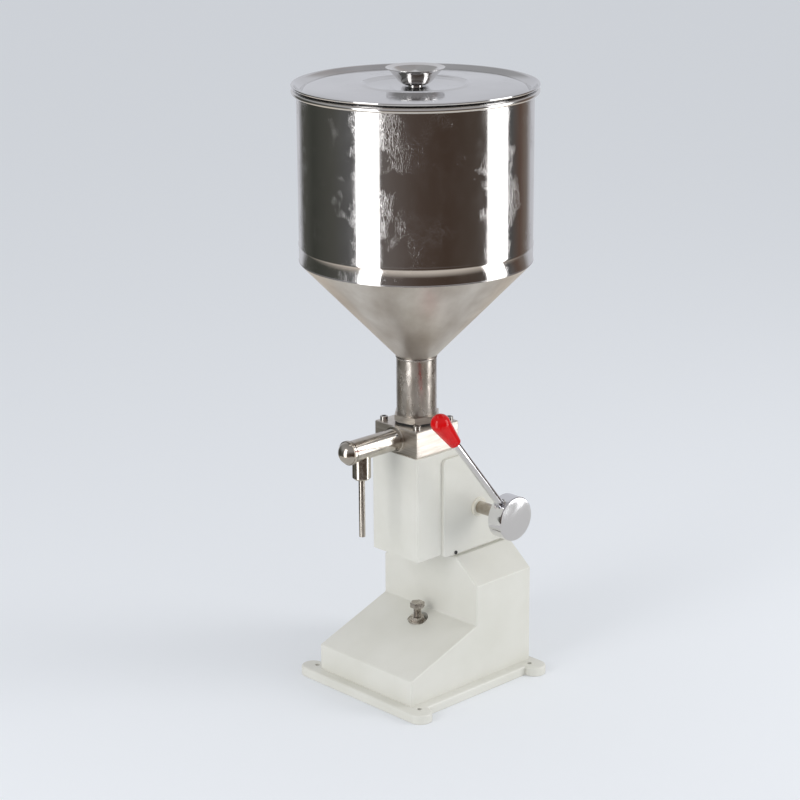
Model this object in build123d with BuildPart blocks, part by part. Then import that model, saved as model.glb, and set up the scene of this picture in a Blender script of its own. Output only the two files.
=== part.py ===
from build123d import *
import os
from math import acos, cos, pi, radians, sin, sqrt, tan

# Manual piston liquid filler: cast base, painted head, stainless valve block and
# outlet, conical hopper with a lid, and a rack piston worked by a hand lever.
# Millimetres. +Z is up, -Y is the nozzle side, +X is the lever side.
# The origin is the centre of the four bench bolt holes, on the bench plane.

os.makedirs("parts", exist_ok=True)

# ---------------------------------------------------------------- driving sizes
# Base casting
plate_side_margin = 13.5
plate_end_margin = 11.0
plate_thickness = 12.0
plate_edge_radius = 2.5
lug_radius = 15.0
lug_overhang = 2.0
lug_hole_inset_x = 5.0
lug_hole_inset_y = 3.5
bench_hole_radius = 3.25
body_width = 171.0
body_length = 217.0
body_offset_y = 3.5
nose_height = 46.0
slope_top_height = 87.5
slope_run = 117.0
shoulder_height = 141.5
pedestal_top = 172.0
shoulder_margin = 6.5
casting_wall = 7.0
casting_edge_radius = 2.0
deck_thickness = 11.0

# Head housing
head_width = 83.0
head_front_y = -50.0
head_lift = 7.0
head_top = 316.4
head_top_back_y = 26.0
head_slant_lift = 26.0
head_wall = 6.0
head_roof = 10.0
head_floor = 6.0
head_edge_radius = 2.5
head_bolt_radius = 4.0
head_bolt_depth = 8.0
head_bolt_head_radius = 6.4
head_bolt_spacing_y = 66.0
head_bolt_edge_gap = 8.0

# Side covers
cover_thickness = 4.0
cover_front_y = -7.5
cover_top_drop = 9.4
cover_bottom_lift = 3.0
cover_back_margin = 2.5
cover_corner_radius = 5.0
cover_edge = 1.0
window_rim = 11.0
cover_boss_wall = 5.0
cover_boss_gap = 1.0
cover_boss_depth = 9.0
cover_screw_radius = 1.5
cover_screw_bite = 4.0
cover_screw_head_radius = 2.4
cover_screw_head_height = 1.2
cover_screw_socket_flats = 2.0
cover_screw_socket_depth = 0.8
cover_screw_lift = 2.6
cover_screw_front_inset = 21.2
cover_screw_back_inset = 6.0

# Piston, cylinder and rack
piston_axis_y = -11.0
bore_radius = 17.5
liner_wall = 3.5
liner_drop = 54.4
liner_gear_gap = 2.0
liner_rise = 12.0
liner_flange_width = 4.0
liner_edge = 1.0
liner_flange_thickness = 4.0
piston_rise = 9.6
piston_height = 22.0
piston_clearance = 0.04
seal_width = 2.6
seal_depth = 2.2
seal_inset = 2.0
rod_radius = 14.0
rod_bottom = 168.0
rod_end_edge = 1.5
rod_tapping_depth = 12.0
piston_screw_radius = 2.5
piston_screw_sink = 6.0
guide_wall = 3.0
guide_boss_wall = 3.0
guide_length = 14.0
running_clearance = 0.04
fit_clearance = 0.02
tooth_module = 2.0
gear_teeth = 55
pressure_angle = 20.0
tooth_backlash = 0.30
rack_pitch_offset = 11.0
gear_face_width = 10.0
dedendum_share = 1.25
rack_spaces_below = 3
rack_spaces_above = 10
gear_spare_teeth = 2
piston_stroke = 52.0

# Lever shaft, hub, rod and grip
shaft_height = 230.0
shaft_radius = 8.0
shaft_left_overhang = 6.5
shaft_end_edge = 0.8
bush_wall = 2.0
bush_flange_width = 2.3
bush_edge = 0.5
bush_flange_thickness = 3.0
gear_hub_wall = 9.0
ring_groove_gap = 0.2
ring_groove_width = 1.2
ring_groove_depth = 1.0
ring_side_play = 0.05
ring_outer_width = 2.0
ring_mouth_width = 4.0
gear_hub_width = 26.0
key_width = 5.0
key_length = 20.0
hub_radius = 28.8
hub_stand_off = 44.3
hub_thickness = 22.8
hub_edge = 1.2
hub_cap = 6.0
grub_radius = 3.0
grub_length = 12.0
grub_socket_flats = 3.0
grub_socket_depth = 4.0
spot_face_radius = 8.0
spot_face_depth = 4.0
lever_radius = 5.0
lever_end_edge = 0.6
lever_root = 15.0
lever_reach = 209.0
lever_angle = 51.0
grip_length = 53.0
grip_root_radius = 8.0
grip_end_radius = 12.4
grip_socket_depth = 26.0
grip_root_edge = 1.5

# Valve block and inlet
block_inset = 3.7
block_depth = 74.0
block_height = 34.8
block_edge = 1.0
block_screw_inset_x = 7.8
block_screw_inset_y = 8.5
block_screw_radius = 3.0
block_screw_head_radius = 4.95
block_screw_head_height = 5.7
chamber_radius = 13.0
seat_radius = 18.0
seat_thickness = 5.2
seat_bore_radius = 10.0
seat_level = 20.6
spigot_radius = 20.0
stem_radius = 2.5
poppet_radius = 11.4
poppet_thickness = 3.0
stem_rise = 11.8
stem_thread_end = 2.0
poppet_edge = 0.8
stem_edge = 0.4
stem_nut_height = 4.0
stem_nut_radius = 5.5
inlet_coil_radius = 4.2
inlet_wire_radius = 0.5
inlet_spring_turns = 6
spring_gap = 0.1

# Outlet tube and nozzle
outlet_rise = 18.6
outlet_radius = 14.0
outlet_bore_radius = 9.0
outlet_spigot_radius = 10.0
outlet_spigot_length = 9.5
passage_radius = 5.0
outlet_length = 77.0
outlet_seat_inset = 9.0
ball_radius = 7.0
collar_width = 2.6
collar_thickness = 3.5
collar_edge = 0.8
cap_rim_width = 1.6
cap_rim_edge = 0.7
cap_dome_inset = 1.2
cap_dome_overlap = 0.5
cap_rim_thickness = 4.5
cap_dome_height = 10.0
cap_plug_length = 9.0
cap_ring_width = 1.6
cap_ring_inset = 0.8
set_screw_radius = 2.5
set_screw_inset = 8.0
set_screw_tilt = 38.0
set_screw_sink = 0.2
set_screw_gap = 0.3
spring_coil_radius = 5.6
spring_wire_radius = 0.6
outlet_spring_turns = 9
outlet_spring_seat_share = 0.75
nozzle_inset = 18.0
holder_radius = 11.8
holder_drop = 39.0
holder_chamfer = 2.5
nozzle_radius = 4.0
nozzle_bore_radius = 3.0
nozzle_reach = 76.5
nozzle_grip_length = 16.0
nozzle_spigot_radius = 3.7
nozzle_shoulder_gap = 0.5
drain_bore_radius = 4.0

# Hopper
gasket_thickness = 2.6
gasket_radius = 27.5
union_flats = 54.0
union_height = 8.8
union_turn = 12.0
union_corner_radius = 28.8
spigot_bore_radius = 17.0
sheet = 1.2
neck_radius = 25.4
neck_socket_depth = 4.0
neck_length = 75.1
cone_height = 124.0
cone_weld_step = 1.5
cone_foot_step = 2.64
barrel_radius = 145.0
barrel_height = 212.8
bead_line_height = 22.0
bead_line_half_width = 2.0
bead_line_depth = 0.7
rim_wire_radius = 3.3
rim_gap = 0.02
rim_drop_share = 0.65

# Lid
lid_edge_rise = 7.0
lid_curl_radius = 1.7
lid_panel_inset = 10.0
lid_lip_inset = 4.0
lid_lip_slope = 0.9
lid_sink = 1.0
lid_dome_fall = 2.5
lid_ring_radius = 64.0
lid_ring_step = 1.8
lid_ring_inner = 2.0
lid_ring_outer = 1.0
lid_crown_share = 0.35
knob_height = 21.7
knob_base_rise = 3.8
knob_radius = 36.4
knob_edge = 0.8
knob_lip_width = 8.0
knob_lip_fall = 1.6
knob_neck_radius = 9.0
knob_foot_share = 0.05
knob_cup_floor_share = 0.38
lid_screw_radius = 2.5
lid_screw_head_radius = 6.0
lid_screw_head_height = 3.0
lid_screw_head_edge = 0.8
knob_nut_flats = 8.0
knob_nut_height = 3.2

# Stroke stop
spot_seat_height = 76.5
spot_seat_radius = 14.0
stop_screw_radius = 5.0
stop_head_flats = 17.0
stop_head_height = 6.6
stop_head_top = 103.0
stop_screw_end = 42.0
stop_boss_radius = 13.0
stop_boss_bottom = 48.0
washer_radius = 12.0
washer_thickness = 2.0
lock_nut_height = 5.0
thread_clearance = 0.06
lock_nut_turn = 15.0
stop_screw_edge = 1.2

# ------------------------------------------------------------ sizes worked out
plate_length = body_length + 2 * plate_end_margin
plate_half_width = body_width / 2 + plate_side_margin
lug_x = plate_half_width + lug_overhang
lug_y = plate_length / 2 - lug_radius
bolt_spacing_x = 2 * (lug_x - lug_hole_inset_x)
bolt_spacing_y = 2 * (lug_y - lug_hole_inset_y)
body_front_y = body_offset_y - body_length / 2
body_back_y = body_front_y + body_length
riser_front_y = body_front_y + slope_run
slope_rise = (slope_top_height - nose_height) / slope_run
slope_wall = casting_wall * sqrt(1 + slope_rise**2)
head_half = head_width / 2
shoulder_half_width = head_half + shoulder_margin
head_bottom = pedestal_top + head_lift
head_slant_foot = pedestal_top + head_slant_lift
cover_top = head_top - cover_top_drop
cover_bottom = pedestal_top + cover_bottom_lift
cover_screw_height = cover_bottom + cover_screw_lift
cover_back_y = body_back_y - cover_back_margin
cover_screw_spots = [
    (cover_front_y + cover_screw_front_inset, cover_screw_height),
    (cover_back_y - cover_screw_back_inset, cover_screw_height),
]
head_inner_half = head_half - head_wall
cover_outer_x = head_half + cover_thickness
head_bolt_spacing_x = 2 * (head_inner_half - head_bolt_edge_gap)
head_bolt_centre_y = (riser_front_y + body_back_y) / 2
pitch_radius = tooth_module * gear_teeth / 2
shaft_y = piston_axis_y + rack_pitch_offset + pitch_radius
bush_radius = shaft_radius + bush_wall
bush_flange_radius = bush_radius + bush_flange_width
cover_boss_radius = bush_radius + cover_boss_wall
gear_hub_radius = shaft_radius + gear_hub_wall
liner_radius = bore_radius + liner_wall
liner_flange_radius = liner_radius + liner_flange_width
liner_top = head_top + liner_rise
liner_bottom = head_top - liner_drop
piston_top = head_top + piston_rise
guide_top = head_bottom + guide_length
guide_radius = rod_radius + running_clearance + guide_wall
block_top = head_top + block_height
block_width = head_width - 2 * block_inset
block_screw_spacing_x = block_width - 2 * block_screw_inset_x
block_screw_spacing_y = block_depth - 2 * block_screw_inset_y
block_front_y = piston_axis_y - block_depth / 2
stem_top = block_top + stem_rise
outlet_height = head_top + outlet_rise
outlet_front_y = block_front_y - outlet_length
outlet_seat_y = block_front_y - outlet_seat_inset
collar_radius = outlet_radius + collar_width
cap_rim_radius = outlet_radius + cap_rim_width
nozzle_y = outlet_front_y + nozzle_inset
holder_bottom = outlet_height - holder_drop
nozzle_bottom = holder_bottom - nozzle_reach
set_screw_y = block_front_y - set_screw_inset
set_screw_direction = (cos(radians(set_screw_tilt)), 0, sin(radians(set_screw_tilt)))
seat_bottom = head_top + seat_level
seat_top = seat_bottom + seat_thickness
union_bottom = block_top + gasket_thickness
union_top = union_bottom + union_height
neck_bottom = union_top - neck_socket_depth
neck_top = union_top + neck_length
cone_top = neck_top + cone_height
barrel_top = cone_top + barrel_height
hub_inner_x = cover_outer_x + hub_stand_off
shaft_left_end = cover_outer_x + bush_flange_thickness + shaft_left_overhang
hub_outer_x = hub_inner_x + hub_thickness
lever_x = hub_inner_x + hub_thickness / 2
shaft_end_x = hub_outer_x - hub_cap
bush_length = cover_thickness + cover_boss_depth
washer_top = spot_seat_height + washer_thickness
tip_radius = pitch_radius + tooth_module
liner_slot_reach = shaft_y - piston_axis_y - liner_radius
liner_slot_top = shaft_height + sqrt((tip_radius + liner_gear_gap) ** 2 - liner_slot_reach**2)
rim_radius = barrel_radius + 2 * rim_wire_radius + rim_gap
rim_level = barrel_top - rim_drop_share * rim_wire_radius
lid_edge_radius = barrel_radius + 2 * rim_wire_radius
lid_panel_radius = barrel_radius - lid_panel_inset
lid_lip_radius = barrel_radius - lid_lip_inset
lid_top = barrel_top + lid_edge_rise
knob_base = barrel_top + knob_base_rise
knob_top = knob_base + knob_height
knob_cup_floor = knob_base + knob_cup_floor_share * knob_height
knob_flare = knob_radius - knob_neck_radius
ring_groove_x = -cover_outer_x - bush_flange_thickness - ring_groove_gap - ring_groove_width


def slope_height(y):
    """Height of the sloped nose above the bench at a given y."""
    return nose_height + (y - body_front_y) * slope_rise


def finish(piece, name):
    """Label a finished piece and write it as one STEP file."""
    piece.part.label = name
    export_step(piece.part, f"parts/{name}.step")


# ---------------------------------------------------------------- base casting
# The hollow inside: a thinner copy of the body, open at the bottom, that leaves
# a boss for the stop screw.
inner_half = body_width / 2 - casting_wall
shoulder_slope = (body_width / 2 - shoulder_half_width) / (pedestal_top - shoulder_height)
inner_shoulder_height = pedestal_top - shoulder_height + casting_wall / 2
deck_underside = pedestal_top - deck_thickness
with BuildPart() as base_hollow:
    with BuildSketch(Plane.YZ):
        with BuildLine():
            Polyline(
                (body_front_y + casting_wall, -1),
                (body_front_y + casting_wall, slope_height(body_front_y + casting_wall) - slope_wall),
                (riser_front_y + casting_wall, slope_height(riser_front_y + casting_wall) - slope_wall),
                (riser_front_y + casting_wall, deck_underside),
                (body_back_y - casting_wall, deck_underside),
                (body_back_y - casting_wall, -1),
                close=True,
            )
        make_face()
    extrude(amount=inner_half, both=True)
    for side in (-1, 1):
        with BuildSketch(Plane.XZ.offset(-body_back_y)):
            with BuildLine():
                Polyline(
                    (side * inner_half, shoulder_height - casting_wall / 2),
                    (side * inner_half, pedestal_top),
                    (side * (inner_half - shoulder_slope * inner_shoulder_height), pedestal_top),
                    close=True,
                )
            make_face()
        extrude(amount=body_length, mode=Mode.SUBTRACT)
    with BuildSketch(Plane.XY.offset(stop_boss_bottom)):
        with Locations((0, piston_axis_y)):
            Circle(stop_boss_radius)
    extrude(amount=pedestal_top, mode=Mode.SUBTRACT)

with BuildPart() as base_casting:
    with BuildSketch(Plane.YZ):
        with BuildLine():
            Polyline(
                (body_front_y, 0),
                (body_front_y, nose_height),
                (riser_front_y, slope_top_height),
                (riser_front_y, pedestal_top),
                (body_back_y, pedestal_top),
                (body_back_y, 0),
                close=True,
            )
        make_face()
    extrude(amount=body_width / 2, both=True)
    for side in (-1, 1):
        with BuildSketch(Plane.XZ.offset(-body_back_y)):
            with BuildLine():
                Polyline(
                    (side * body_width / 2, shoulder_height),
                    (side * body_width / 2, pedestal_top),
                    (side * shoulder_half_width, pedestal_top),
                    close=True,
                )
            make_face()
        extrude(amount=body_length, mode=Mode.SUBTRACT)
    body_edges = edges().filter_by(lambda edge: edge.bounding_box().max.Z > plate_thickness)
    fillet(body_edges, casting_edge_radius)
    with BuildSketch():
        Rectangle(2 * plate_half_width, plate_length)
        with GridLocations(2 * lug_x, 2 * lug_y, 2, 2):
            Circle(lug_radius)
    extrude(amount=plate_thickness)
    top_rim = edges().filter_by_position(Axis.Z, plate_thickness, plate_thickness)
    outer_rim = [
        edge for edge in top_rim
        if abs(edge.center().X) > plate_half_width - 1 or abs(edge.center().Y) > plate_length / 2 - 1
    ]
    fillet(outer_rim, plate_edge_radius)
    add(base_hollow.part, mode=Mode.SUBTRACT)
    with BuildSketch(Plane.XY.offset(spot_seat_height)):
        with Locations((0, piston_axis_y)):
            Circle(spot_seat_radius)
    extrude(amount=slope_top_height - nose_height, mode=Mode.SUBTRACT)
    with BuildSketch(Plane.XY):
        with Locations((0, piston_axis_y)):
            Circle(stop_screw_radius + thread_clearance)
        with GridLocations(bolt_spacing_x, bolt_spacing_y, 2, 2):
            Circle(bench_hole_radius)
    extrude(amount=pedestal_top / 2, mode=Mode.SUBTRACT)
    # Blind tapped holes of the four bolts that hold the head
    with BuildSketch(Plane.XY.offset(pedestal_top)):
        with Locations((0, head_bolt_centre_y)):
            with GridLocations(head_bolt_spacing_x, head_bolt_spacing_y, 2, 2):
                Circle(head_bolt_radius + fit_clearance)
    extrude(amount=-head_bolt_depth, mode=Mode.SUBTRACT)
finish(base_casting, "base_casting")


# ---------------------------------------------------------------- head housing
# A painted box over the pedestal: vertical front, flat roof, back wall that
# slopes down from the roof and then drops plumb to the pedestal deck.
slant_run = body_back_y - head_top_back_y
slant_drop = head_top - head_slant_foot
slant_length = sqrt(slant_run**2 + slant_drop**2)


def slant_y(z, inset):
    """The y of the sloping back wall at height z, moved in by an inset."""
    return head_top_back_y + (head_top - z) * slant_run / slant_drop - inset * slant_length / slant_drop


def slant_z(y, inset):
    """The height of the sloping back wall at y, moved in by an inset."""
    return head_top - (y - head_top_back_y) * slant_drop / slant_run - inset * slant_length / slant_run


roof_underside = head_top - head_roof
floor_top = head_bottom + head_floor
deck_floor_top = pedestal_top + head_floor
inner_back_y = body_back_y - head_wall
with BuildPart() as head_housing:
    with BuildSketch(Plane.YZ):
        with BuildLine():
            Polyline(
                (head_front_y, head_bottom),
                (head_front_y, head_top),
                (head_top_back_y, head_top),
                (body_back_y, head_slant_foot),
                (body_back_y, pedestal_top),
                (riser_front_y, pedestal_top),
                (riser_front_y, head_bottom),
                close=True,
            )
        make_face()
    extrude(amount=head_half, both=True)
    fillet(edges().filter_by(Axis.Z).group_by(Axis.Y)[0], head_edge_radius)
    with BuildSketch(Plane.YZ):
        with BuildLine():
            Polyline(
                (head_front_y + head_wall, floor_top),
                (head_front_y + head_wall, roof_underside),
                (slant_y(roof_underside, head_wall), roof_underside),
                (inner_back_y, slant_z(inner_back_y, head_wall)),
                (inner_back_y, deck_floor_top),
                (riser_front_y + head_wall, deck_floor_top),
                (riser_front_y + head_wall, floor_top),
                close=True,
            )
        make_face()
    extrude(amount=head_inner_half, both=True, mode=Mode.SUBTRACT)
    # Side windows behind the covers
    window_back_y = body_back_y - window_rim
    window_bottom = floor_top + 1
    with BuildSketch(Plane.YZ):
        with BuildLine():
            Polyline(
                (cover_front_y + window_rim, window_bottom),
                (cover_front_y + window_rim, cover_top - window_rim),
                (slant_y(cover_top - window_rim, window_rim), cover_top - window_rim),
                (window_back_y, slant_z(window_back_y, window_rim)),
                (window_back_y, window_bottom),
                close=True,
            )
        make_face()
    extrude(amount=head_half + 1, both=True, mode=Mode.SUBTRACT)
    with BuildSketch(Plane.YZ):
        with Locations((shaft_y, shaft_height)):
            Circle(cover_boss_radius + cover_boss_gap)
    extrude(amount=head_half + 1, both=True, mode=Mode.SUBTRACT)
    # Boss that carries the rod guide
    with BuildSketch(Plane.XY.offset(head_bottom)):
        with Locations((0, piston_axis_y)):
            Circle(guide_radius + guide_boss_wall)
    extrude(amount=guide_top - head_bottom)
    with BuildSketch(Plane.XY.offset(head_bottom - 1)):
        with Locations((0, piston_axis_y)):
            Circle(guide_radius + fit_clearance)
    extrude(amount=guide_top - head_bottom + 2, mode=Mode.SUBTRACT)
    # Roof bore for the liner and its flange, and the tapped holes of the block screws
    with BuildSketch(Plane.XY.offset(head_top)):
        with Locations((0, piston_axis_y)):
            Circle(liner_radius + fit_clearance)
            with GridLocations(block_screw_spacing_x, block_screw_spacing_y, 2, 2):
                Circle(block_screw_radius + fit_clearance)
    extrude(amount=-(head_roof + 1), mode=Mode.SUBTRACT)
    with BuildSketch(Plane.XY.offset(head_top)):
        with Locations((0, piston_axis_y)):
            Circle(liner_flange_radius + fit_clearance)
    extrude(amount=-liner_flange_thickness, mode=Mode.SUBTRACT)
    # Clearance holes of the four bolts into the pedestal deck
    with BuildSketch(Plane.XY.offset(deck_floor_top)):
        with Locations((0, head_bolt_centre_y)):
            with GridLocations(head_bolt_spacing_x, head_bolt_spacing_y, 2, 2):
                Circle(head_bolt_radius + fit_clearance)
    extrude(amount=-(head_floor + 1), mode=Mode.SUBTRACT)
    # Tapped holes of the cover screws, in both sides
    for side in (-1, 1):
        with BuildSketch(Plane.YZ.offset(side * head_half)):
            with Locations(*cover_screw_spots):
                Circle(cover_screw_radius + fit_clearance)
        extrude(amount=-side * cover_screw_bite, mode=Mode.SUBTRACT)
finish(head_housing, "head_housing")


screw_head_edge_share = 0.08
screw_socket_depth_share = 0.5
screw_socket_flats_share = 0.82


def socket_screws(name, spots, level, shank_radius, length, head_radius, head_height):
    """Write a group of like socket head cap screws, heads up, seated at one level."""
    with BuildPart() as screws:
        with BuildSketch(Plane.XY.offset(level - length)):
            with Locations(*spots):
                Circle(shank_radius)
        extrude(amount=length)
        with BuildSketch(Plane.XY.offset(level)):
            with Locations(*spots):
                Circle(head_radius)
        extrude(amount=head_height)
        chamfer(faces().group_by(Axis.Z)[-1].edges(), screw_head_edge_share * head_height)
        with BuildSketch(Plane.XY.offset(level + head_height)):
            with Locations(*spots):
                RegularPolygon(screw_socket_flats_share * shank_radius, 6, major_radius=False)
        extrude(amount=-screw_socket_depth_share * head_height, mode=Mode.SUBTRACT)
    finish(screws, name)


def grid_spots(centre_y, spacing_x, spacing_y):
    """The four corners of a rectangle of screws centred on x = 0."""
    return [
        (i * spacing_x / 2, centre_y + j * spacing_y / 2)
        for i in (-1, 1)
        for j in (-1, 1)
    ]


socket_screws(
    "head_bolts",
    grid_spots(head_bolt_centre_y, head_bolt_spacing_x, head_bolt_spacing_y),
    deck_floor_top,
    head_bolt_radius,
    head_floor + head_bolt_depth - 1,
    head_bolt_head_radius,
    2 * head_bolt_radius,
)

# ---------------------------------------------------------------- side covers
# A plate over each window, with a boss on the inside that carries a shaft bush.
for side, cover_name, screws_name, bush_name in (
    (1, "right_cover", "right_cover_screws", "right_bush"),
    (-1, "left_cover", "left_cover_screws", "left_bush"),
):
    face_plane = Plane.YZ.offset(side * head_half)
    out = side * cover_thickness
    with BuildPart() as cover:
        with BuildSketch(face_plane) as cover_outline:
            with BuildLine():
                Polyline(
                    (cover_front_y, cover_bottom),
                    (cover_front_y, cover_top),
                    (slant_y(cover_top, cover_back_margin), cover_top),
                    (cover_back_y, slant_z(cover_back_y, cover_back_margin)),
                    (cover_back_y, cover_bottom),
                    close=True,
                )
            make_face()
            fillet(cover_outline.vertices(), cover_corner_radius)
        extrude(amount=out)
        fillet(faces().sort_by(Axis.X)[-1 if side > 0 else 0].edges(), cover_edge)
        with BuildSketch(face_plane):
            with Locations((shaft_y, shaft_height)):
                Circle(cover_boss_radius)
        extrude(amount=-side * cover_boss_depth)
        with BuildSketch(Plane.YZ.offset(side * (head_half - cover_boss_depth - 1))):
            with Locations((shaft_y, shaft_height)):
                Circle(bush_radius + fit_clearance)
        extrude(amount=side * (bush_length + 2), mode=Mode.SUBTRACT)
        with BuildSketch(Plane.YZ.offset(side * (head_half - 1))):
            with Locations(*cover_screw_spots):
                Circle(cover_screw_radius + fit_clearance)
        extrude(amount=side * (cover_thickness + 2), mode=Mode.SUBTRACT)
    finish(cover, cover_name)

    with BuildPart() as cover_screws:
        with BuildSketch(Plane.YZ.offset(side * (head_half - cover_screw_bite))):
            with Locations(*cover_screw_spots):
                Circle(cover_screw_radius)
        extrude(amount=side * (cover_thickness + cover_screw_bite))
        with BuildSketch(Plane.YZ.offset(side * cover_outer_x)):
            with Locations(*cover_screw_spots):
                Circle(cover_screw_head_radius)
        extrude(amount=side * cover_screw_head_height)
        with BuildSketch(Plane.YZ.offset(side * (cover_outer_x + cover_screw_head_height))):
            with Locations(*cover_screw_spots):
                RegularPolygon(cover_screw_socket_flats / 2, 6, major_radius=False)
        extrude(amount=-side * cover_screw_socket_depth, mode=Mode.SUBTRACT)
    finish(cover_screws, screws_name)

    with BuildPart() as bush:
        with BuildSketch(Plane.YZ.offset(side * (head_half - cover_boss_depth))):
            with Locations((shaft_y, shaft_height)):
                Circle(bush_radius)
                Circle(shaft_radius + running_clearance, mode=Mode.SUBTRACT)
        extrude(amount=side * bush_length)
        with BuildSketch(Plane.YZ.offset(side * cover_outer_x)):
            with Locations((shaft_y, shaft_height)):
                Circle(bush_flange_radius)
                Circle(shaft_radius + running_clearance, mode=Mode.SUBTRACT)
        extrude(amount=side * bush_flange_thickness)
        chamfer(faces().sort_by(Axis.X)[-1 if side > 0 else 0].outer_wire().edges(), bush_edge)
    finish(bush, bush_name)

# ---------------------------------------------------------------- cylinder and rod guide
with BuildPart() as cylinder_liner:
    with BuildSketch(Plane.XY.offset(liner_bottom)):
        with Locations((0, piston_axis_y)):
            Circle(liner_radius)
    extrude(amount=liner_top - liner_bottom)
    with BuildSketch(Plane.XY.offset(head_top - liner_flange_thickness)):
        with Locations((0, piston_axis_y)):
            Circle(liner_flange_radius)
    extrude(amount=liner_flange_thickness)
    with BuildSketch(Plane.XY.offset(liner_bottom)):
        with Locations((0, piston_axis_y)):
            Circle(bore_radius)
    extrude(amount=liner_top - liner_bottom, mode=Mode.SUBTRACT)
    chamfer(faces().group_by(Axis.Z)[0].edges(), liner_edge)
    # Slot up the lever-shaft side of the skirt, where the gear teeth pass
    with BuildSketch(Plane.XY.offset(liner_bottom - 1)):
        with Locations((0, piston_axis_y + liner_radius)):
            Rectangle(gear_face_width + liner_gear_gap, 2 * liner_radius)
    extrude(amount=liner_slot_top - liner_bottom + 1, mode=Mode.SUBTRACT)
finish(cylinder_liner, "cylinder_liner")

with BuildPart() as rod_guide:
    with BuildSketch(Plane.XY.offset(head_bottom)):
        with Locations((0, piston_axis_y)):
            Circle(guide_radius)
            Circle(rod_radius + running_clearance, mode=Mode.SUBTRACT)
    extrude(amount=guide_top - head_bottom)
finish(rod_guide, "rod_guide")

# ---------------------------------------------------------------- piston and rack rod
piston_bottom = piston_top - piston_height
rack_pitch = pi * tooth_module
rack_tip = rack_pitch_offset + tooth_module
rack_root = rack_pitch_offset - dedendum_share * tooth_module
flank = tan(radians(pressure_angle))
tooth_half = (rack_pitch / 2 - tooth_backlash) / 2
space_half_root = rack_pitch / 2 - tooth_half - dedendum_share * tooth_module * flank
space_half_tip = rack_pitch / 2 - tooth_half + tooth_module * flank
rack_start = shaft_height - (rack_spaces_below + 0.5) * rack_pitch
rack_stop = shaft_height + (rack_spaces_above + 0.7) * rack_pitch
with BuildPart() as piston_rod:
    with BuildSketch(Plane.XY.offset(rod_bottom)):
        with Locations((0, piston_axis_y)):
            Circle(rod_radius)
    extrude(amount=piston_bottom - rod_bottom)
    chamfer(faces().group_by(Axis.Z)[0].edges(), rod_end_edge)
    # The spaces between the rack teeth; a tooth stands level with the shaft
    rack_profile = [(piston_axis_y + rod_radius + 1, rack_start)]
    rack_profile.append((piston_axis_y + rack_tip, rack_start))
    for count in range(-rack_spaces_below, rack_spaces_above):
        middle = shaft_height + (count + 0.5) * rack_pitch
        rack_profile.append((piston_axis_y + rack_tip, middle - space_half_tip))
        rack_profile.append((piston_axis_y + rack_root, middle - space_half_root))
        rack_profile.append((piston_axis_y + rack_root, middle + space_half_root))
        rack_profile.append((piston_axis_y + rack_tip, middle + space_half_tip))
    rack_profile.append((piston_axis_y + rack_tip, rack_stop))
    rack_profile.append((piston_axis_y + rod_radius + 1, rack_stop))
    with BuildSketch(Plane.YZ):
        with BuildLine():
            Polyline(*rack_profile, close=True)
        make_face()
    extrude(amount=rod_radius + 1, both=True, mode=Mode.SUBTRACT)
    with BuildSketch(Plane.XY.offset(piston_bottom)):
        with Locations((0, piston_axis_y)):
            Circle(piston_screw_radius + fit_clearance)
    extrude(amount=-rod_tapping_depth, mode=Mode.SUBTRACT)
finish(piston_rod, "piston_rod")

seal_levels = (piston_top - seal_inset, piston_top - seal_inset - 2 * seal_width)
piston_radius = bore_radius - piston_clearance
with BuildPart() as piston:
    with BuildSketch(Plane.XY.offset(piston_bottom)):
        with Locations((0, piston_axis_y)):
            Circle(piston_radius)
    extrude(amount=piston_height)
    for level in seal_levels:
        with BuildSketch(Plane.XY.offset(level)):
            with Locations((0, piston_axis_y)):
                Circle(piston_radius + 1)
                Circle(piston_radius - seal_depth, mode=Mode.SUBTRACT)
        extrude(amount=-seal_width, mode=Mode.SUBTRACT)
    with BuildSketch(Plane.XY.offset(piston_bottom)):
        with Locations((0, piston_axis_y)):
            Circle(piston_screw_radius + fit_clearance)
    extrude(amount=piston_height, mode=Mode.SUBTRACT)
    with BuildSketch(Plane.XY.offset(piston_top)):
        with Locations((0, piston_axis_y)):
            Circle(2 * piston_screw_radius + fit_clearance)
    extrude(amount=-piston_screw_sink, mode=Mode.SUBTRACT)
finish(piston, "piston")

with BuildPart() as piston_seals:
    for level in seal_levels:
        with BuildSketch(Plane.XY.offset(level)):
            with Locations((0, piston_axis_y)):
                Circle(piston_radius)
                Circle(piston_radius - seal_depth, mode=Mode.SUBTRACT)
        extrude(amount=-seal_width)
finish(piston_seals, "piston_seals")

socket_screws(
    "piston_screw",
    [(0, piston_axis_y)],
    piston_top - piston_screw_sink,
    piston_screw_radius,
    piston_height + piston_screw_sink / 2,
    2 * piston_screw_radius,
    2 * piston_screw_radius,
)

# ---------------------------------------------------------------- sector gear
base_circle = pitch_radius * cos(radians(pressure_angle))


def involute(angle):
    """The involute function, in radians."""
    return tan(angle) - angle


def tooth_half_angle(radius):
    """Half the angle that a gear tooth fills at a given radius."""
    at_pitch = (pi * tooth_module / 2 - tooth_backlash) / 2 / pitch_radius
    return at_pitch + involute(radians(pressure_angle)) - involute(acos(base_circle / radius))


def gear_point(radius, angle):
    """A point of the gear, with the angle measured up from the -Y direction."""
    return (shaft_y - radius * cos(angle), shaft_height + radius * sin(angle))


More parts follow.
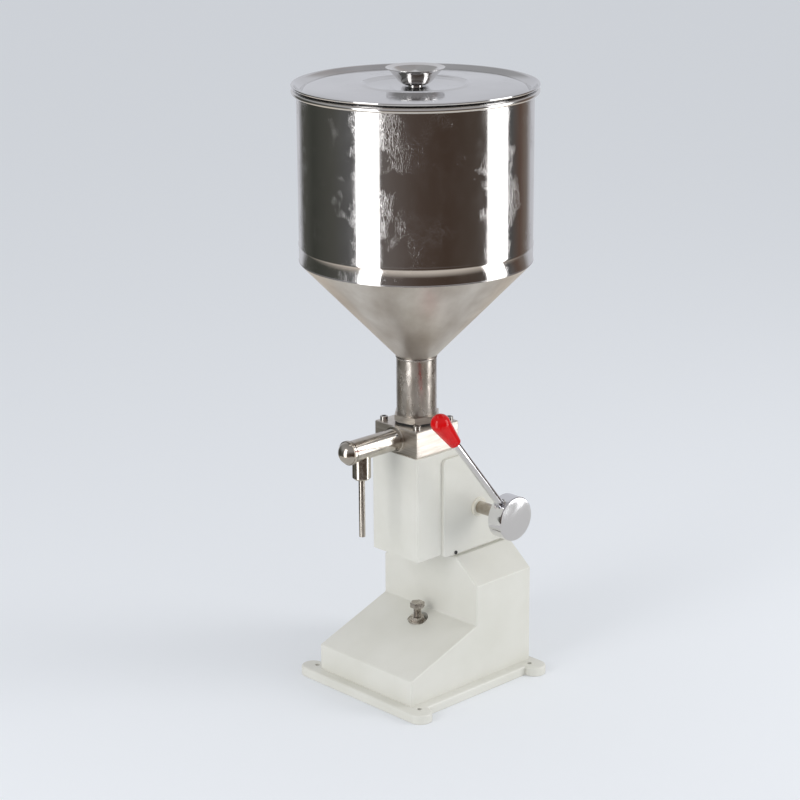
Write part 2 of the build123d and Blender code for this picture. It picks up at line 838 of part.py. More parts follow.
tooth_angle = 2 * pi / gear_teeth
stroke_teeth = round(piston_stroke / rack_pitch)
first_tooth = -gear_spare_teeth
last_tooth = stroke_teeth + gear_spare_teeth - 1
root_radius = pitch_radius - dedendum_share * tooth_module
sector_start = first_tooth * tooth_angle
sector_end = (last_tooth + 1) * tooth_angle
gear_outline = [gear_point(root_radius, sector_start)]
for count in range(first_tooth, last_tooth + 1):
    centre_angle = (count + 0.5) * tooth_angle
    for radius in (root_radius, pitch_radius, tip_radius):
        gear_outline.append(gear_point(radius, centre_angle - tooth_half_angle(radius)))
    for radius in (tip_radius, pitch_radius, root_radius):
        gear_outline.append(gear_point(radius, centre_angle + tooth_half_angle(radius)))
gear_outline.append(gear_point(root_radius, sector_end))
gear_outline.append((shaft_y, shaft_height))
with BuildPart() as sector_gear:
    with BuildSketch(Plane.YZ):
        with BuildLine():
            Polyline(*gear_outline, close=True)
        make_face()
    extrude(amount=gear_face_width / 2, both=True)
    with BuildSketch(Plane.YZ):
        with Locations((shaft_y, shaft_height)):
            Circle(gear_hub_radius)
    extrude(amount=gear_hub_width / 2, both=True)
    with BuildSketch(Plane.YZ):
        with Locations((shaft_y, shaft_height)):
            Circle(shaft_radius + fit_clearance)
        with Locations((shaft_y, shaft_height + shaft_radius)):
            Rectangle(key_width, key_width)
    extrude(amount=gear_hub_width, both=True, mode=Mode.SUBTRACT)
finish(sector_gear, "sector_gear")

key_start = -key_length / 2
with BuildPart() as gear_key:
    with BuildSketch(Plane.YZ.offset(key_start)):
        with Locations((shaft_y, shaft_height + shaft_radius)):
            Rectangle(key_width - 2 * fit_clearance, key_width - 2 * fit_clearance)
    extrude(amount=key_length)
finish(gear_key, "gear_key")

with BuildPart() as lever_shaft:
    with BuildSketch(Plane.YZ.offset(-shaft_left_end)):
        with Locations((shaft_y, shaft_height)):
            Circle(shaft_radius)
    extrude(amount=shaft_left_end + shaft_end_x)
    chamfer(edges().filter_by(GeomType.CIRCLE), shaft_end_edge)
    with BuildSketch(Plane.YZ.offset(key_start - 1)):
        with Locations((shaft_y, shaft_height + shaft_radius)):
            Rectangle(key_width, key_width)
    extrude(amount=key_length + 2, mode=Mode.SUBTRACT)
    # Groove of the retaining ring on the left end
    with BuildSketch(Plane.YZ.offset(ring_groove_x)):
        with Locations((shaft_y, shaft_height)):
            Circle(shaft_radius + 1)
            Circle(shaft_radius - ring_groove_depth, mode=Mode.SUBTRACT)
    extrude(amount=ring_groove_width, mode=Mode.SUBTRACT)
finish(lever_shaft, "lever_shaft")

with BuildPart() as retaining_ring:
    with BuildSketch(Plane.YZ.offset(ring_groove_x + ring_side_play)):
        with Locations((shaft_y, shaft_height)):
            Circle(shaft_radius + ring_outer_width)
            Circle(shaft_radius - ring_groove_depth + 2 * ring_side_play, mode=Mode.SUBTRACT)
        with Locations((shaft_y, shaft_height - shaft_radius)):
            Rectangle(ring_mouth_width, 2 * shaft_radius, mode=Mode.SUBTRACT)
    extrude(amount=ring_groove_width - 2 * ring_side_play)
finish(retaining_ring, "retaining_ring")

# ---------------------------------------------------------------- lever hub, rod and grip
lever_start = Vector(lever_x, shaft_y, shaft_height)
lever_direction = Vector(0, -cos(radians(lever_angle)), sin(radians(lever_angle)))


def lever_plane(distance):
    """A plane across the lever, at a distance from the shaft axis."""
    return Plane(origin=lever_start + lever_direction * distance, x_dir=(1, 0, 0), z_dir=lever_direction)


with BuildPart() as lever_hub:
    with BuildSketch(Plane.YZ.offset(hub_inner_x)):
        with Locations((shaft_y, shaft_height)):
            Circle(hub_radius)
    extrude(amount=hub_thickness)
    chamfer(edges().filter_by(GeomType.CIRCLE), hub_edge)
    with BuildSketch(Plane.YZ.offset(hub_inner_x)):
        with Locations((shaft_y, shaft_height)):
            Circle(shaft_radius + fit_clearance)
    extrude(amount=shaft_end_x - hub_inner_x, mode=Mode.SUBTRACT)
    with BuildSketch(lever_plane(lever_root)):
        Circle(lever_radius + fit_clearance)
    extrude(amount=hub_radius, mode=Mode.SUBTRACT)
    with BuildSketch(lever_plane(hub_radius - spot_face_depth)):
        Circle(spot_face_radius)
    extrude(amount=hub_radius, mode=Mode.SUBTRACT)
    with BuildSketch(Plane.XY.offset(shaft_height)):
        with Locations((lever_x, shaft_y)):
            Circle(grub_radius)
    extrude(amount=-hub_radius, mode=Mode.SUBTRACT)
finish(lever_hub, "lever_hub")

with BuildPart() as hub_grub_screw:
    with BuildSketch(Plane.XY.offset(shaft_height - shaft_radius)):
        with Locations((lever_x, shaft_y)):
            Circle(grub_radius - fit_clearance)
    extrude(amount=-grub_length)
    with BuildSketch(Plane.XY.offset(shaft_height - shaft_radius - grub_length)):
        with Locations((lever_x, shaft_y)):
            RegularPolygon(grub_socket_flats / 2, 6, major_radius=False)
    extrude(amount=grub_socket_depth, mode=Mode.SUBTRACT)
finish(hub_grub_screw, "hub_grub_screw")

grip_start = lever_reach - grip_length
with BuildPart() as lever_rod:
    with BuildSketch(lever_plane(lever_root)):
        Circle(lever_radius)
    extrude(amount=grip_start + grip_socket_depth - lever_root)
    chamfer(edges().filter_by(GeomType.CIRCLE), lever_end_edge)
finish(lever_rod, "lever_rod")

grip_straight = grip_length - grip_end_radius
along_lever = Plane(origin=lever_start, x_dir=(1, 0, 0), z_dir=Vector(1, 0, 0).cross(lever_direction))
with BuildPart() as lever_grip:
    with BuildSketch(along_lever):
        with BuildLine():
            Polyline(
                (0, lever_reach),
                (0, grip_start),
                (grip_root_radius - grip_root_edge, grip_start),
                (grip_root_radius, grip_start + grip_root_edge),
                (grip_end_radius, grip_start + grip_straight),
            )
            ThreePointArc(
                (grip_end_radius, grip_start + grip_straight),
                (grip_end_radius * cos(pi / 4), grip_start + grip_straight + grip_end_radius * sin(pi / 4)),
                (0, lever_reach),
            )
        make_face()
    revolve(axis=Axis(tuple(lever_start), tuple(lever_direction)), revolution_arc=360)
    with BuildSketch(lever_plane(grip_start)):
        Circle(lever_radius + fit_clearance)
    extrude(amount=grip_socket_depth, mode=Mode.SUBTRACT)
finish(lever_grip, "lever_grip")

# ---------------------------------------------------------------- valve block
block_screw_spots = grid_spots(piston_axis_y, block_screw_spacing_x, block_screw_spacing_y)
with BuildPart() as valve_block:
    with BuildSketch(Plane.XY.offset(head_top)):
        with Locations((0, piston_axis_y)):
            Rectangle(block_width, block_depth)
    extrude(amount=block_height)
    fillet(edges().filter_by(Axis.Z), block_edge)
    chamfer(faces().group_by(Axis.Z)[-1].edges(), block_edge)
    # Liner counterbore, valve chamber, seat pocket and union thread, from below upwards
    for radius, start, stop in (
        (liner_radius + fit_clearance, head_top - 1, liner_top + fit_clearance),
        (chamber_radius, head_top, seat_bottom + 1),
        (seat_radius + fit_clearance, seat_bottom, seat_top),
        (spigot_radius + fit_clearance, seat_top, block_top + 1),
    ):
        with BuildSketch(Plane.XY.offset(start)):
            with Locations((0, piston_axis_y)):
                Circle(radius)
        extrude(amount=stop - start, mode=Mode.SUBTRACT)
    with BuildSketch(Plane.XY.offset(head_top - 1)):
        with Locations(*block_screw_spots):
            Circle(block_screw_radius + fit_clearance)
    extrude(amount=block_height + 2, mode=Mode.SUBTRACT)
    # Passage to the outlet and the thread of the outlet tube
    with BuildSketch(Plane.XZ.offset(-piston_axis_y)):
        with Locations((0, outlet_height)):
            Circle(passage_radius)
    extrude(amount=block_depth, mode=Mode.SUBTRACT)
    with BuildSketch(Plane.XZ.offset(-block_front_y - outlet_spigot_length - fit_clearance)):
        with Locations((0, outlet_height)):
            Circle(outlet_spigot_radius + fit_clearance)
    extrude(amount=outlet_spigot_length + 1, mode=Mode.SUBTRACT)
finish(valve_block, "valve_block")

socket_screws(
    "block_screws",
    block_screw_spots,
    block_top,
    block_screw_radius,
    block_height + head_roof - 1,
    block_screw_head_radius,
    block_screw_head_height,
)

# ---------------------------------------------------------------- inlet valve
with BuildPart() as inlet_seat:
    with BuildSketch(Plane.XY.offset(seat_bottom)):
        with Locations((0, piston_axis_y)):
            Circle(seat_radius)
            Circle(seat_bore_radius, mode=Mode.SUBTRACT)
            Circle(2 * stem_radius)
            Rectangle(2 * seat_bore_radius + 2, stem_radius)
            Rectangle(stem_radius, 2 * seat_bore_radius + 2)
            Circle(stem_radius + running_clearance, mode=Mode.SUBTRACT)
    extrude(amount=seat_thickness)
finish(inlet_seat, "inlet_seat")

with BuildPart() as inlet_poppet:
    with BuildSketch(Plane.XY.offset(seat_bottom - poppet_thickness)):
        with Locations((0, piston_axis_y)):
            Circle(poppet_radius)
    extrude(amount=poppet_thickness)
    chamfer(faces().group_by(Axis.Z)[0].edges(), poppet_edge)
    with BuildSketch(Plane.XY.offset(seat_bottom)):
        with Locations((0, piston_axis_y)):
            Circle(stem_radius)
    extrude(amount=stem_top - seat_bottom)
    chamfer(faces().group_by(Axis.Z)[-1].edges(), stem_edge)
finish(inlet_poppet, "inlet_poppet")

nut_bottom = stem_top - stem_thread_end - stem_nut_height
with BuildPart() as stem_nut:
    with BuildSketch(Plane.XY.offset(nut_bottom)):
        with Locations((0, piston_axis_y)):
            RegularPolygon(stem_nut_radius, 6)
            Circle(stem_radius + fit_clearance, mode=Mode.SUBTRACT)
    extrude(amount=stem_nut_height)
finish(stem_nut, "stem_nut")


def coil(start, direction, coil_radius, wire_radius, length, turns):
    """A compression spring from a start point along a direction, ends inside the length."""
    along = Vector(*direction)
    height = length - 2 * wire_radius
    with BuildPart() as spring:
        with BuildLine():
            wire = Helix(
                height / turns,
                height,
                coil_radius,
                center=tuple(Vector(*start) + along * wire_radius),
                direction=direction,
            )
        with BuildSketch(Plane(origin=wire @ 0, z_dir=wire % 0)):
            Circle(wire_radius)
        sweep(path=wire, is_frenet=True)
    return spring


inlet_spring = coil(
    (0, piston_axis_y, seat_top + spring_gap),
    (0, 0, 1),
    inlet_coil_radius,
    inlet_wire_radius,
    nut_bottom - seat_top - 2 * spring_gap,
    inlet_spring_turns,
)
finish(inlet_spring, "inlet_spring")

# ---------------------------------------------------------------- outlet tube and valve
tube_front = Plane.XZ.offset(-outlet_front_y)
set_screw_plane = Plane(origin=(0, set_screw_y, outlet_height), x_dir=(0, 1, 0), z_dir=set_screw_direction)
with BuildPart() as outlet_tube:
    with BuildSketch(Plane.XZ.offset(-block_front_y)):
        with Locations((0, outlet_height)):
            Circle(outlet_radius)
    extrude(amount=block_front_y - outlet_front_y)
    with BuildSketch(Plane.XZ.offset(-block_front_y)):
        with Locations((0, outlet_height)):
            Circle(outlet_spigot_radius)
    extrude(amount=-outlet_spigot_length)
    with BuildSketch(Plane.XZ.offset(-block_front_y - outlet_spigot_length - 1)):
        with Locations((0, outlet_height)):
            Circle(passage_radius)
    extrude(amount=block_front_y - outlet_seat_y + outlet_spigot_length + 2, mode=Mode.SUBTRACT)
    with BuildSketch(Plane.XZ.offset(-outlet_seat_y)):
        with Locations((0, outlet_height)):
            Circle(outlet_bore_radius)
    extrude(amount=outlet_seat_y - outlet_front_y + 1, mode=Mode.SUBTRACT)
    with BuildSketch(Plane.XY.offset(outlet_height)):
        with Locations((0, nozzle_y)):
            Circle(drain_bore_radius)
    extrude(amount=-outlet_radius - 1, mode=Mode.SUBTRACT)
    # Tapped hole of the set screw, up and to the lever side
    with BuildSketch(set_screw_plane):
        Circle(set_screw_radius + fit_clearance)
    extrude(amount=outlet_radius + 1, mode=Mode.SUBTRACT)
finish(outlet_tube, "outlet_tube")

with BuildPart() as outlet_collar:
    with BuildSketch(Plane.XZ.offset(-block_front_y)):
        with Locations((0, outlet_height)):
            Circle(collar_radius)
            Circle(outlet_radius + fit_clearance, mode=Mode.SUBTRACT)
    extrude(amount=collar_thickness)
    chamfer(faces().group_by(Axis.Y)[0].face().outer_wire().edges(), collar_edge)
finish(outlet_collar, "outlet_collar")

with BuildPart() as set_screw:
    with BuildSketch(set_screw_plane.offset(outlet_bore_radius + set_screw_gap)):
        Circle(set_screw_radius)
        RegularPolygon(set_screw_radius / 2, 6, major_radius=False, mode=Mode.SUBTRACT)
    extrude(amount=outlet_radius - outlet_bore_radius - set_screw_gap - set_screw_sink)
finish(set_screw, "set_screw")

ball_centre_y = outlet_seat_y - sqrt(ball_radius**2 - passage_radius**2) - fit_clearance
with BuildPart() as outlet_ball:
    with Locations((0, ball_centre_y, outlet_height)):
        Sphere(ball_radius)
finish(outlet_ball, "outlet_ball")

plug_end_y = outlet_front_y + cap_plug_length
rim_front_y = outlet_front_y - cap_ring_width - cap_rim_thickness
dome_base_radius = cap_rim_radius - cap_dome_inset
dome_back_y = rim_front_y + cap_dome_overlap
dome_middle_y = rim_front_y - 0.70 * cap_dome_height
dome_middle_z = outlet_height + 0.62 * dome_base_radius
with BuildPart() as end_cap:
    with BuildSketch(Plane.XZ.offset(-plug_end_y)):
        with Locations((0, outlet_height)):
            Circle(outlet_bore_radius - fit_clearance)
    extrude(amount=cap_plug_length + cap_ring_width + 1)
    with BuildSketch(Plane.XZ.offset(-outlet_front_y + cap_ring_width)):
        with Locations((0, outlet_height)):
            Circle(cap_rim_radius)
    extrude(amount=cap_rim_thickness)
    fillet(edges().filter_by(GeomType.CIRCLE).filter_by(lambda e: e.radius > outlet_radius), cap_rim_edge)
    with BuildSketch(Plane.YZ):
        with BuildLine():
            Line((dome_back_y, outlet_height), (rim_front_y - cap_dome_height, outlet_height))
            ThreePointArc(
                (rim_front_y - cap_dome_height, outlet_height),
                (dome_middle_y, dome_middle_z),
                (rim_front_y, outlet_height + dome_base_radius),
            )
            Polyline(
                (rim_front_y, outlet_height + dome_base_radius),
                (dome_back_y, outlet_height + dome_base_radius),
                (dome_back_y, outlet_height),
            )
        make_face()
    revolve(axis=Axis((0, 0, outlet_height), (0, 1, 0)), revolution_arc=360)
finish(end_cap, "end_cap")

with BuildPart() as cap_ring:
    with BuildSketch(tube_front):
        with Locations((0, outlet_height)):
            Circle(outlet_radius - cap_ring_inset)
            Circle(outlet_bore_radius, mode=Mode.SUBTRACT)
    extrude(amount=cap_ring_width)
finish(cap_ring, "cap_ring")

spring_start_y = ball_centre_y - outlet_spring_seat_share * ball_radius
outlet_spring = coil(
    (0, plug_end_y + spring_gap, outlet_height),
    (0, 1, 0),
    spring_coil_radius,
    spring_wire_radius,
    spring_start_y - plug_end_y - 2 * spring_gap,
    outlet_spring_turns,
)
finish(outlet_spring, "outlet_spring")

# ---------------------------------------------------------------- nozzle
with BuildPart() as nozzle_holder:
    with BuildSketch(Plane.XY.offset(holder_bottom)):
        with Locations((0, nozzle_y)):
            Circle(holder_radius)
    extrude(amount=outlet_height - holder_bottom)
    chamfer(faces().group_by(Axis.Z)[0].edges(), holder_chamfer)
    with BuildSketch(Plane.XZ.offset(-nozzle_y - 2 * holder_radius)):
        with Locations((0, outlet_height)):
            Circle(outlet_radius)
    extrude(amount=4 * holder_radius, both=True, mode=Mode.SUBTRACT)
    with BuildSketch(Plane.XY.offset(holder_bottom - 1)):
        with Locations((0, nozzle_y)):
            Circle(drain_bore_radius)
    extrude(amount=outlet_height - holder_bottom, mode=Mode.SUBTRACT)
    with BuildSketch(Plane.XY.offset(holder_bottom - 1)):
        with Locations((0, nozzle_y)):
            Circle(nozzle_spigot_radius + fit_clearance)
    extrude(amount=nozzle_grip_length + 1, mode=Mode.SUBTRACT)
finish(nozzle_holder, "nozzle_holder")

# The tube is necked where the holder grips it; the shoulder stops just short of the holder
with BuildPart() as nozzle_tube:
    with BuildSketch(Plane.XY.offset(nozzle_bottom)):
        with Locations((0, nozzle_y)):
            Circle(nozzle_radius)
    extrude(amount=nozzle_reach - nozzle_shoulder_gap)
    with BuildSketch(Plane.XY.offset(nozzle_bottom)):
        with Locations((0, nozzle_y)):
            Circle(nozzle_spigot_radius)
    extrude(amount=nozzle_reach + nozzle_grip_length)
    with BuildSketch(Plane.XY.offset(nozzle_bottom)):
        with Locations((0, nozzle_y)):
            Circle(nozzle_bore_radius)
    extrude(amount=nozzle_reach + nozzle_grip_length, mode=Mode.SUBTRACT)
finish(nozzle_tube, "nozzle_tube")

# ---------------------------------------------------------------- hopper union
with BuildPart() as union_gasket:
    with BuildSketch(Plane.XY.offset(block_top)):
        with Locations((0, piston_axis_y)):
            Circle(gasket_radius)
            Circle(spigot_radius + fit_clearance, mode=Mode.SUBTRACT)
    extrude(amount=gasket_thickness)
finish(union_gasket, "union_gasket")

with BuildPart() as hopper_union:
    with BuildSketch(Plane.XY.offset(union_bottom)):
        with Locations((0, piston_axis_y)):
            RegularPolygon(union_flats / 2, 6, major_radius=False, rotation=union_turn)
    extrude(amount=union_height)
    with BuildSketch(Plane.XY.offset(union_bottom)):
        with Locations((0, piston_axis_y)):
            Circle(union_corner_radius)
    extrude(amount=union_height, taper=-45, mode=Mode.INTERSECT)
    with BuildSketch(Plane.XY.offset(union_bottom)):
        with Locations((0, piston_axis_y)):
            Circle(spigot_radius)
    extrude(amount=-(block_top - seat_top) - gasket_thickness + fit_clearance)
    with BuildSketch(Plane.XY.offset(seat_top - 1)):
        with Locations((0, piston_axis_y)):
            Circle(spigot_bore_radius)
    extrude(amount=union_top - seat_top + 2, mode=Mode.SUBTRACT)
    with BuildSketch(Plane.XY.offset(neck_bottom)):
        with Locations((0, piston_axis_y)):
            Circle(neck_radius + fit_clearance)
    extrude(amount=neck_socket_depth + 1, mode=Mode.SUBTRACT)
finish(hopper_union, "hopper_union")

# ---------------------------------------------------------------- hopper
hopper_axis = Axis((0, piston_axis_y, 0), (0, 0, 1))
hopper_plane = Plane(origin=(0, piston_axis_y, 0), x_dir=(1, 0, 0), z_dir=(0, -1, 0))
with BuildPart() as hopper_neck:
    with BuildSketch(Plane.XY.offset(neck_bottom)):
        with Locations((0, piston_axis_y)):
            Circle(neck_radius)
            Circle(neck_radius - sheet, mode=Mode.SUBTRACT)
    extrude(amount=neck_top - neck_bottom)
finish(hopper_neck, "hopper_neck")

cone_rise = (cone_top - neck_top) / (barrel_radius - neck_radius)
with BuildPart() as hopper_cone:
    with BuildSketch(hopper_plane):
        with BuildLine():
            Polyline(
                (neck_radius - sheet, neck_top),
                (neck_radius, neck_top),
                (barrel_radius, cone_top),
                (barrel_radius - sheet, cone_top),
                (barrel_radius - sheet - cone_weld_step, cone_top - cone_weld_step * (cone_rise - 1)),
                (neck_radius - sheet, neck_top + cone_foot_step),
                close=True,
            )
        make_face()
    revolve(axis=hopper_axis, revolution_arc=360)
finish(hopper_cone, "hopper_cone")

bead_line = cone_top + bead_line_height
with BuildPart() as hopper_barrel:
    with BuildSketch(hopper_plane):
        with BuildLine():
            Polyline(
                (barrel_radius - sheet, cone_top),
                (barrel_radius, cone_top),
                (barrel_radius, bead_line - bead_line_half_width),
                (barrel_radius + bead_line_depth, bead_line),
                (barrel_radius, bead_line + bead_line_half_width),
                (barrel_radius, barrel_top),
                (barrel_radius - sheet, barrel_top),
                close=True,
            )
        make_face()
    revolve(axis=hopper_axis, revolution_arc=360)
finish(hopper_barrel, "hopper_barrel")

with BuildPart() as hopper_rim:
    with BuildSketch(hopper_plane):
        with Locations((rim_radius - rim_wire_radius, rim_level)):
            Circle(rim_wire_radius)
    revolve(axis=hopper_axis, revolution_arc=360)
finish(hopper_rim, "hopper_rim")

# ---------------------------------------------------------------- lid
# Radius and height of the upper surface of the pressed sheet, from the middle out
lid_floor = barrel_top - lid_sink
lid_slope_end = lid_edge_radius - 2 * lid_curl_radius
lid_section = [
    (0, knob_base),
    (lid_ring_radius - lid_ring_inner, knob_base),
    (lid_ring_radius + lid_ring_outer, knob_base + lid_ring_step),
    (
        (lid_ring_radius + lid_panel_radius) / 2,
        knob_base + lid_ring_step - lid_crown_share * lid_dome_fall,
    ),
    (lid_panel_radius, knob_base + lid_ring_step - lid_dome_fall),
    (lid_panel_radius + knob_base + lid_ring_step - lid_dome_fall - lid_floor, lid_floor),
    (lid_lip_radius, lid_floor),
    (lid_slope_end, lid_floor + lid_lip_slope * (lid_slope_end - lid_lip_radius)),
    (lid_edge_radius - lid_curl_radius, lid_top - lid_curl_radius),
]
with BuildPart() as lid:
    with BuildSketch(hopper_plane):
        with BuildLine():
            Polyline(*lid_section, *[(r, h - sheet) for r, h in reversed(lid_section)], close=True)
        make_face()
        with Locations((lid_edge_radius - lid_curl_radius, lid_top - lid_curl_radius)):
            Circle(lid_curl_radius)
    revolve(axis=hopper_axis, revolution_arc=360)
    with BuildSketch(Plane.XY.offset(knob_base - 2 * sheet)):
        with Locations((0, piston_axis_y)):
            Circle(lid_screw_radius + fit_clearance)
    extrude(amount=3 * sheet, mode=Mode.SUBTRACT)
finish(lid, "lid")

with BuildPart() as lid_knob:
    with BuildSketch(hopper_plane):
        with BuildLine():
            Polyline(
                (0, knob_base),
                (knob_neck_radius, knob_base),
                (knob_neck_radius, knob_base + knob_foot_share * knob_height),
            )
            Spline(
                (knob_neck_radius, knob_base + knob_foot_share * knob_height),
                (knob_neck_radius + 0.30 * knob_flare, knob_base + 0.12 * knob_height),
                (knob_neck_radius + 0.56 * knob_flare, knob_base + 0.43 * knob_height),
                (knob_radius, knob_top - knob_edge),
            )
            Line((knob_radius, knob_top - knob_edge), (knob_radius, knob_top))
            Line((knob_radius, knob_top), (knob_radius - knob_lip_width, knob_top - knob_lip_fall))
            Spline(
                (knob_radius - knob_lip_width, knob_top - knob_lip_fall),
                (knob_neck_radius + 0.30 * knob_flare, knob_base + 0.50 * knob_height),
                (0, knob_cup_floor),
            )
            Line((0, knob_cup_floor), (0, knob_base))
        make_face()
    revolve(axis=hopper_axis, revolution_arc=360)
    with BuildSketch(Plane.XY.offset(knob_base - 1)):
        with Locations((0, piston_axis_y)):
            Circle(lid_screw_radius + fit_clearance)
    extrude(amount=knob_height, mode=Mode.SUBTRACT)
finish(lid_knob, "lid_knob")

# The screw comes up through the lid, with a dome nut in the bottom of the knob's cup
with BuildPart() as lid_screw:
    with BuildSketch(Plane.XY.offset(knob_base - sheet)):
        with Locations((0, piston_axis_y)):
            Circle(lid_screw_radius)
    extrude(amount=knob_cup_floor - knob_base + sheet + knob_nut_height)
    with BuildSketch(Plane.XY.offset(knob_base - sheet)):
        with Locations((0, piston_axis_y)):
            Circle(lid_screw_head_radius)
    extrude(amount=-lid_screw_head_height)
    fillet(faces().group_by(Axis.Z)[0].edges(), lid_screw_head_edge)
finish(lid_screw, "lid_screw")

with BuildPart() as knob_nut:
    with BuildSketch(Plane.XY.offset(knob_cup_floor)):
        with Locations((0, piston_axis_y)):
            RegularPolygon(knob_nut_flats / 2, 6, major_radius=False)
            Circle(lid_screw_radius + fit_clearance, mode=Mode.SUBTRACT)
    extrude(amount=knob_nut_height)
finish(knob_nut, "knob_nut")

# ---------------------------------------------------------------- stroke stop
with BuildPart() as stop_washer:
    with BuildSketch(Plane.XY.offset(spot_seat_height)):
        with Locations((0, piston_axis_y)):
            Circle(washer_radius)
            Circle(stop_screw_radius + thread_clearance, mode=Mode.SUBTRACT)
    extrude(amount=washer_thickness)
finish(stop_washer, "stop_washer")

with BuildPart() as lock_nut:
    with BuildSketch(Plane.XY.offset(washer_top)):
        with Locations((0, piston_axis_y)):
            RegularPolygon(stop_head_flats / 2, 6, major_radius=False, rotation=lock_nut_turn)
            Circle(stop_screw_radius + thread_clearance, mode=Mode.SUBTRACT)
    extrude(amount=lock_nut_height)
finish(lock_nut, "lock_nut")

with BuildPart() as stop_screw:
    with BuildSketch(Plane.XY.offset(stop_screw_end)):
        with Locations((0, piston_axis_y)):
            Circle(stop_screw_radius)
    extrude(amount=stop_head_top - stop_head_height - stop_screw_end)
    chamfer(faces().group_by(Axis.Z)[0].edges(), stop_screw_edge)
    with BuildSketch(Plane.XY.offset(stop_head_top - stop_head_height)):
        with Locations((0, piston_axis_y)):
            RegularPolygon(stop_head_flats / 2, 6, major_radius=False)
    extrude(amount=stop_head_height)
finish(stop_screw, "stop_screw")
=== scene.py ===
from math import cos, pi, radians, sin

import bmesh
import bpy
from mathutils import Matrix, Vector


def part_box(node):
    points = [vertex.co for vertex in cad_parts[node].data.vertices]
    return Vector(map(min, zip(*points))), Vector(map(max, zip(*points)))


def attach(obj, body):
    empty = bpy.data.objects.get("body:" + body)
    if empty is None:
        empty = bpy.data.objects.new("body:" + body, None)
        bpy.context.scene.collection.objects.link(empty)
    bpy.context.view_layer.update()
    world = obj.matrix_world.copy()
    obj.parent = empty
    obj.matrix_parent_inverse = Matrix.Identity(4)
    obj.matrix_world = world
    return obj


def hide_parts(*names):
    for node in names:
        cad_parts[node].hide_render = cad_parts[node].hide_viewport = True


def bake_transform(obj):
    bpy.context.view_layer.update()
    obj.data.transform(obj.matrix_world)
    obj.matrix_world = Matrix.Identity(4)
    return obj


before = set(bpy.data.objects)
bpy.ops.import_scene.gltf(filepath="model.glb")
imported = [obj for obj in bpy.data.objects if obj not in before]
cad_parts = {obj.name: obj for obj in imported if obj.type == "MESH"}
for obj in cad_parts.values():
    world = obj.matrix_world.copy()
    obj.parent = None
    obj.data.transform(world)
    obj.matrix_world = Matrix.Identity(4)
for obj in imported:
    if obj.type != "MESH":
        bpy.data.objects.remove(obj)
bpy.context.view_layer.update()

# ------------------------------------------------------------------ camera
# A long lens, a little above the lid, looking at the corner between the nozzle
# side and the lever side.
camera_place = Vector((1.9814, -1.9356, 1.2361))
camera_azimuth = radians(46.268)
camera_pitch = radians(17.256)
camera_roll = radians(-0.346)
forward = Vector((
    -sin(camera_azimuth) * cos(camera_pitch),
    cos(camera_azimuth) * cos(camera_pitch),
    -sin(camera_pitch),
))
level_right = Vector((cos(camera_azimuth), sin(camera_azimuth), 0))
level_up = level_right.cross(forward)
camera_x = cos(camera_roll) * level_right + sin(camera_roll) * level_up
camera_y = cos(camera_roll) * level_up - sin(camera_roll) * level_right
camera = bpy.data.objects.new("camera", bpy.data.cameras.new("camera"))
camera.data.sensor_width = 36
camera.data.lens = 102.89
camera.data.clip_end = 60
camera.matrix_world = (
    Matrix.Translation(camera_place) @ Matrix((camera_x, camera_y, -forward)).transposed().to_4x4()
)
bpy.context.collection.objects.link(camera)
bpy.context.scene.camera = camera

# ------------------------------------------------------------------ studio
# A pale floor, two tall softboxes either side, and a dim warm room with a
# pale backdrop behind the machine. The polished metal shows the room; a pale
# table top, seen only in that metal, keeps the room's edge out of the cone.
bpy.context.scene.view_settings.view_transform = "Standard"


def node_in(tree, kind, settings=None, **values):
    """A node of that kind, with its settings and its input values. i2 is input number 2."""
    made = tree.nodes.new(kind)
    for key, value in (settings or {}).items():
        setattr(made, key, value)
    for key, value in values.items():
        numbered = key[0] == "i" and key[1:].isdigit()
        made.inputs[int(key[1:]) if numbered else key].default_value = value
    return made


def flat_sheet(name, half_side, level):
    """A square sheet lying level, as a studio floor."""
    shape = bmesh.new()
    bmesh.ops.create_grid(shape, x_segments=1, y_segments=1, size=half_side)
    bmesh.ops.translate(shape, verts=shape.verts, vec=(0, 0, level))
    mesh = bpy.data.meshes.new(name)
    shape.to_mesh(mesh)
    shape.free()
    sheet = bpy.data.objects.new(name, mesh)
    bpy.context.collection.objects.link(sheet)
    return sheet


def matt(name, color):
    """A plain matt surface for the studio."""
    made = bpy.data.materials.new(name)
    made.use_nodes = True
    shader = made.node_tree.nodes["Principled BSDF"]
    shader.inputs["Base Color"].default_value = (*color, 1)
    shader.inputs["Roughness"].default_value = 0.9
    shader.inputs["Specular IOR Level"].default_value = 0.1
    return made


just_under = 0.0003
floor = flat_sheet("floor", 30, -just_under)
floor.data.materials.append(matt("floor_paper", (0.90, 0.92, 0.95)))
floor.visible_glossy = False
table = flat_sheet("table_top", 0.62, -2 * just_under)
table.data.materials.append(matt("table_paper", (0.86, 0.82, 0.76)))
table.visible_camera = False
table.visible_diffuse = False
table.visible_shadow = False


def softbox(name, azimuth, width, height, distance, bottom, watts):
    """An upright softbox facing the machine. Azimuth 0 is the nozzle side."""
    data = bpy.data.lights.new(name, "AREA")
    data.shape = "RECTANGLE"
    data.size = width
    data.size_y = height
    data.energy = watts
    box = bpy.data.objects.new(name, data)
    out = Vector((sin(radians(azimuth)), -cos(radians(azimuth)), 0))
    box.matrix_world = (
        Matrix.Translation(out * distance + Vector((0, 0, bottom + height / 2)))
        @ out.to_track_quat("Z", "Y").to_matrix().to_4x4()
    )
    box.visible_camera = False
    bpy.context.collection.objects.link(box)


softbox_height = 2.9
softbox_distance = 2.2
softbox_bottom = -0.85
softbox(
    "softbox_nozzle_side", 0.6, 0.89, softbox_height, softbox_distance, softbox_bottom, watts=24,
)
softbox(
    "softbox_lever_side", 128.6, 0.98, softbox_height, softbox_distance, softbox_bottom, watts=30,
)

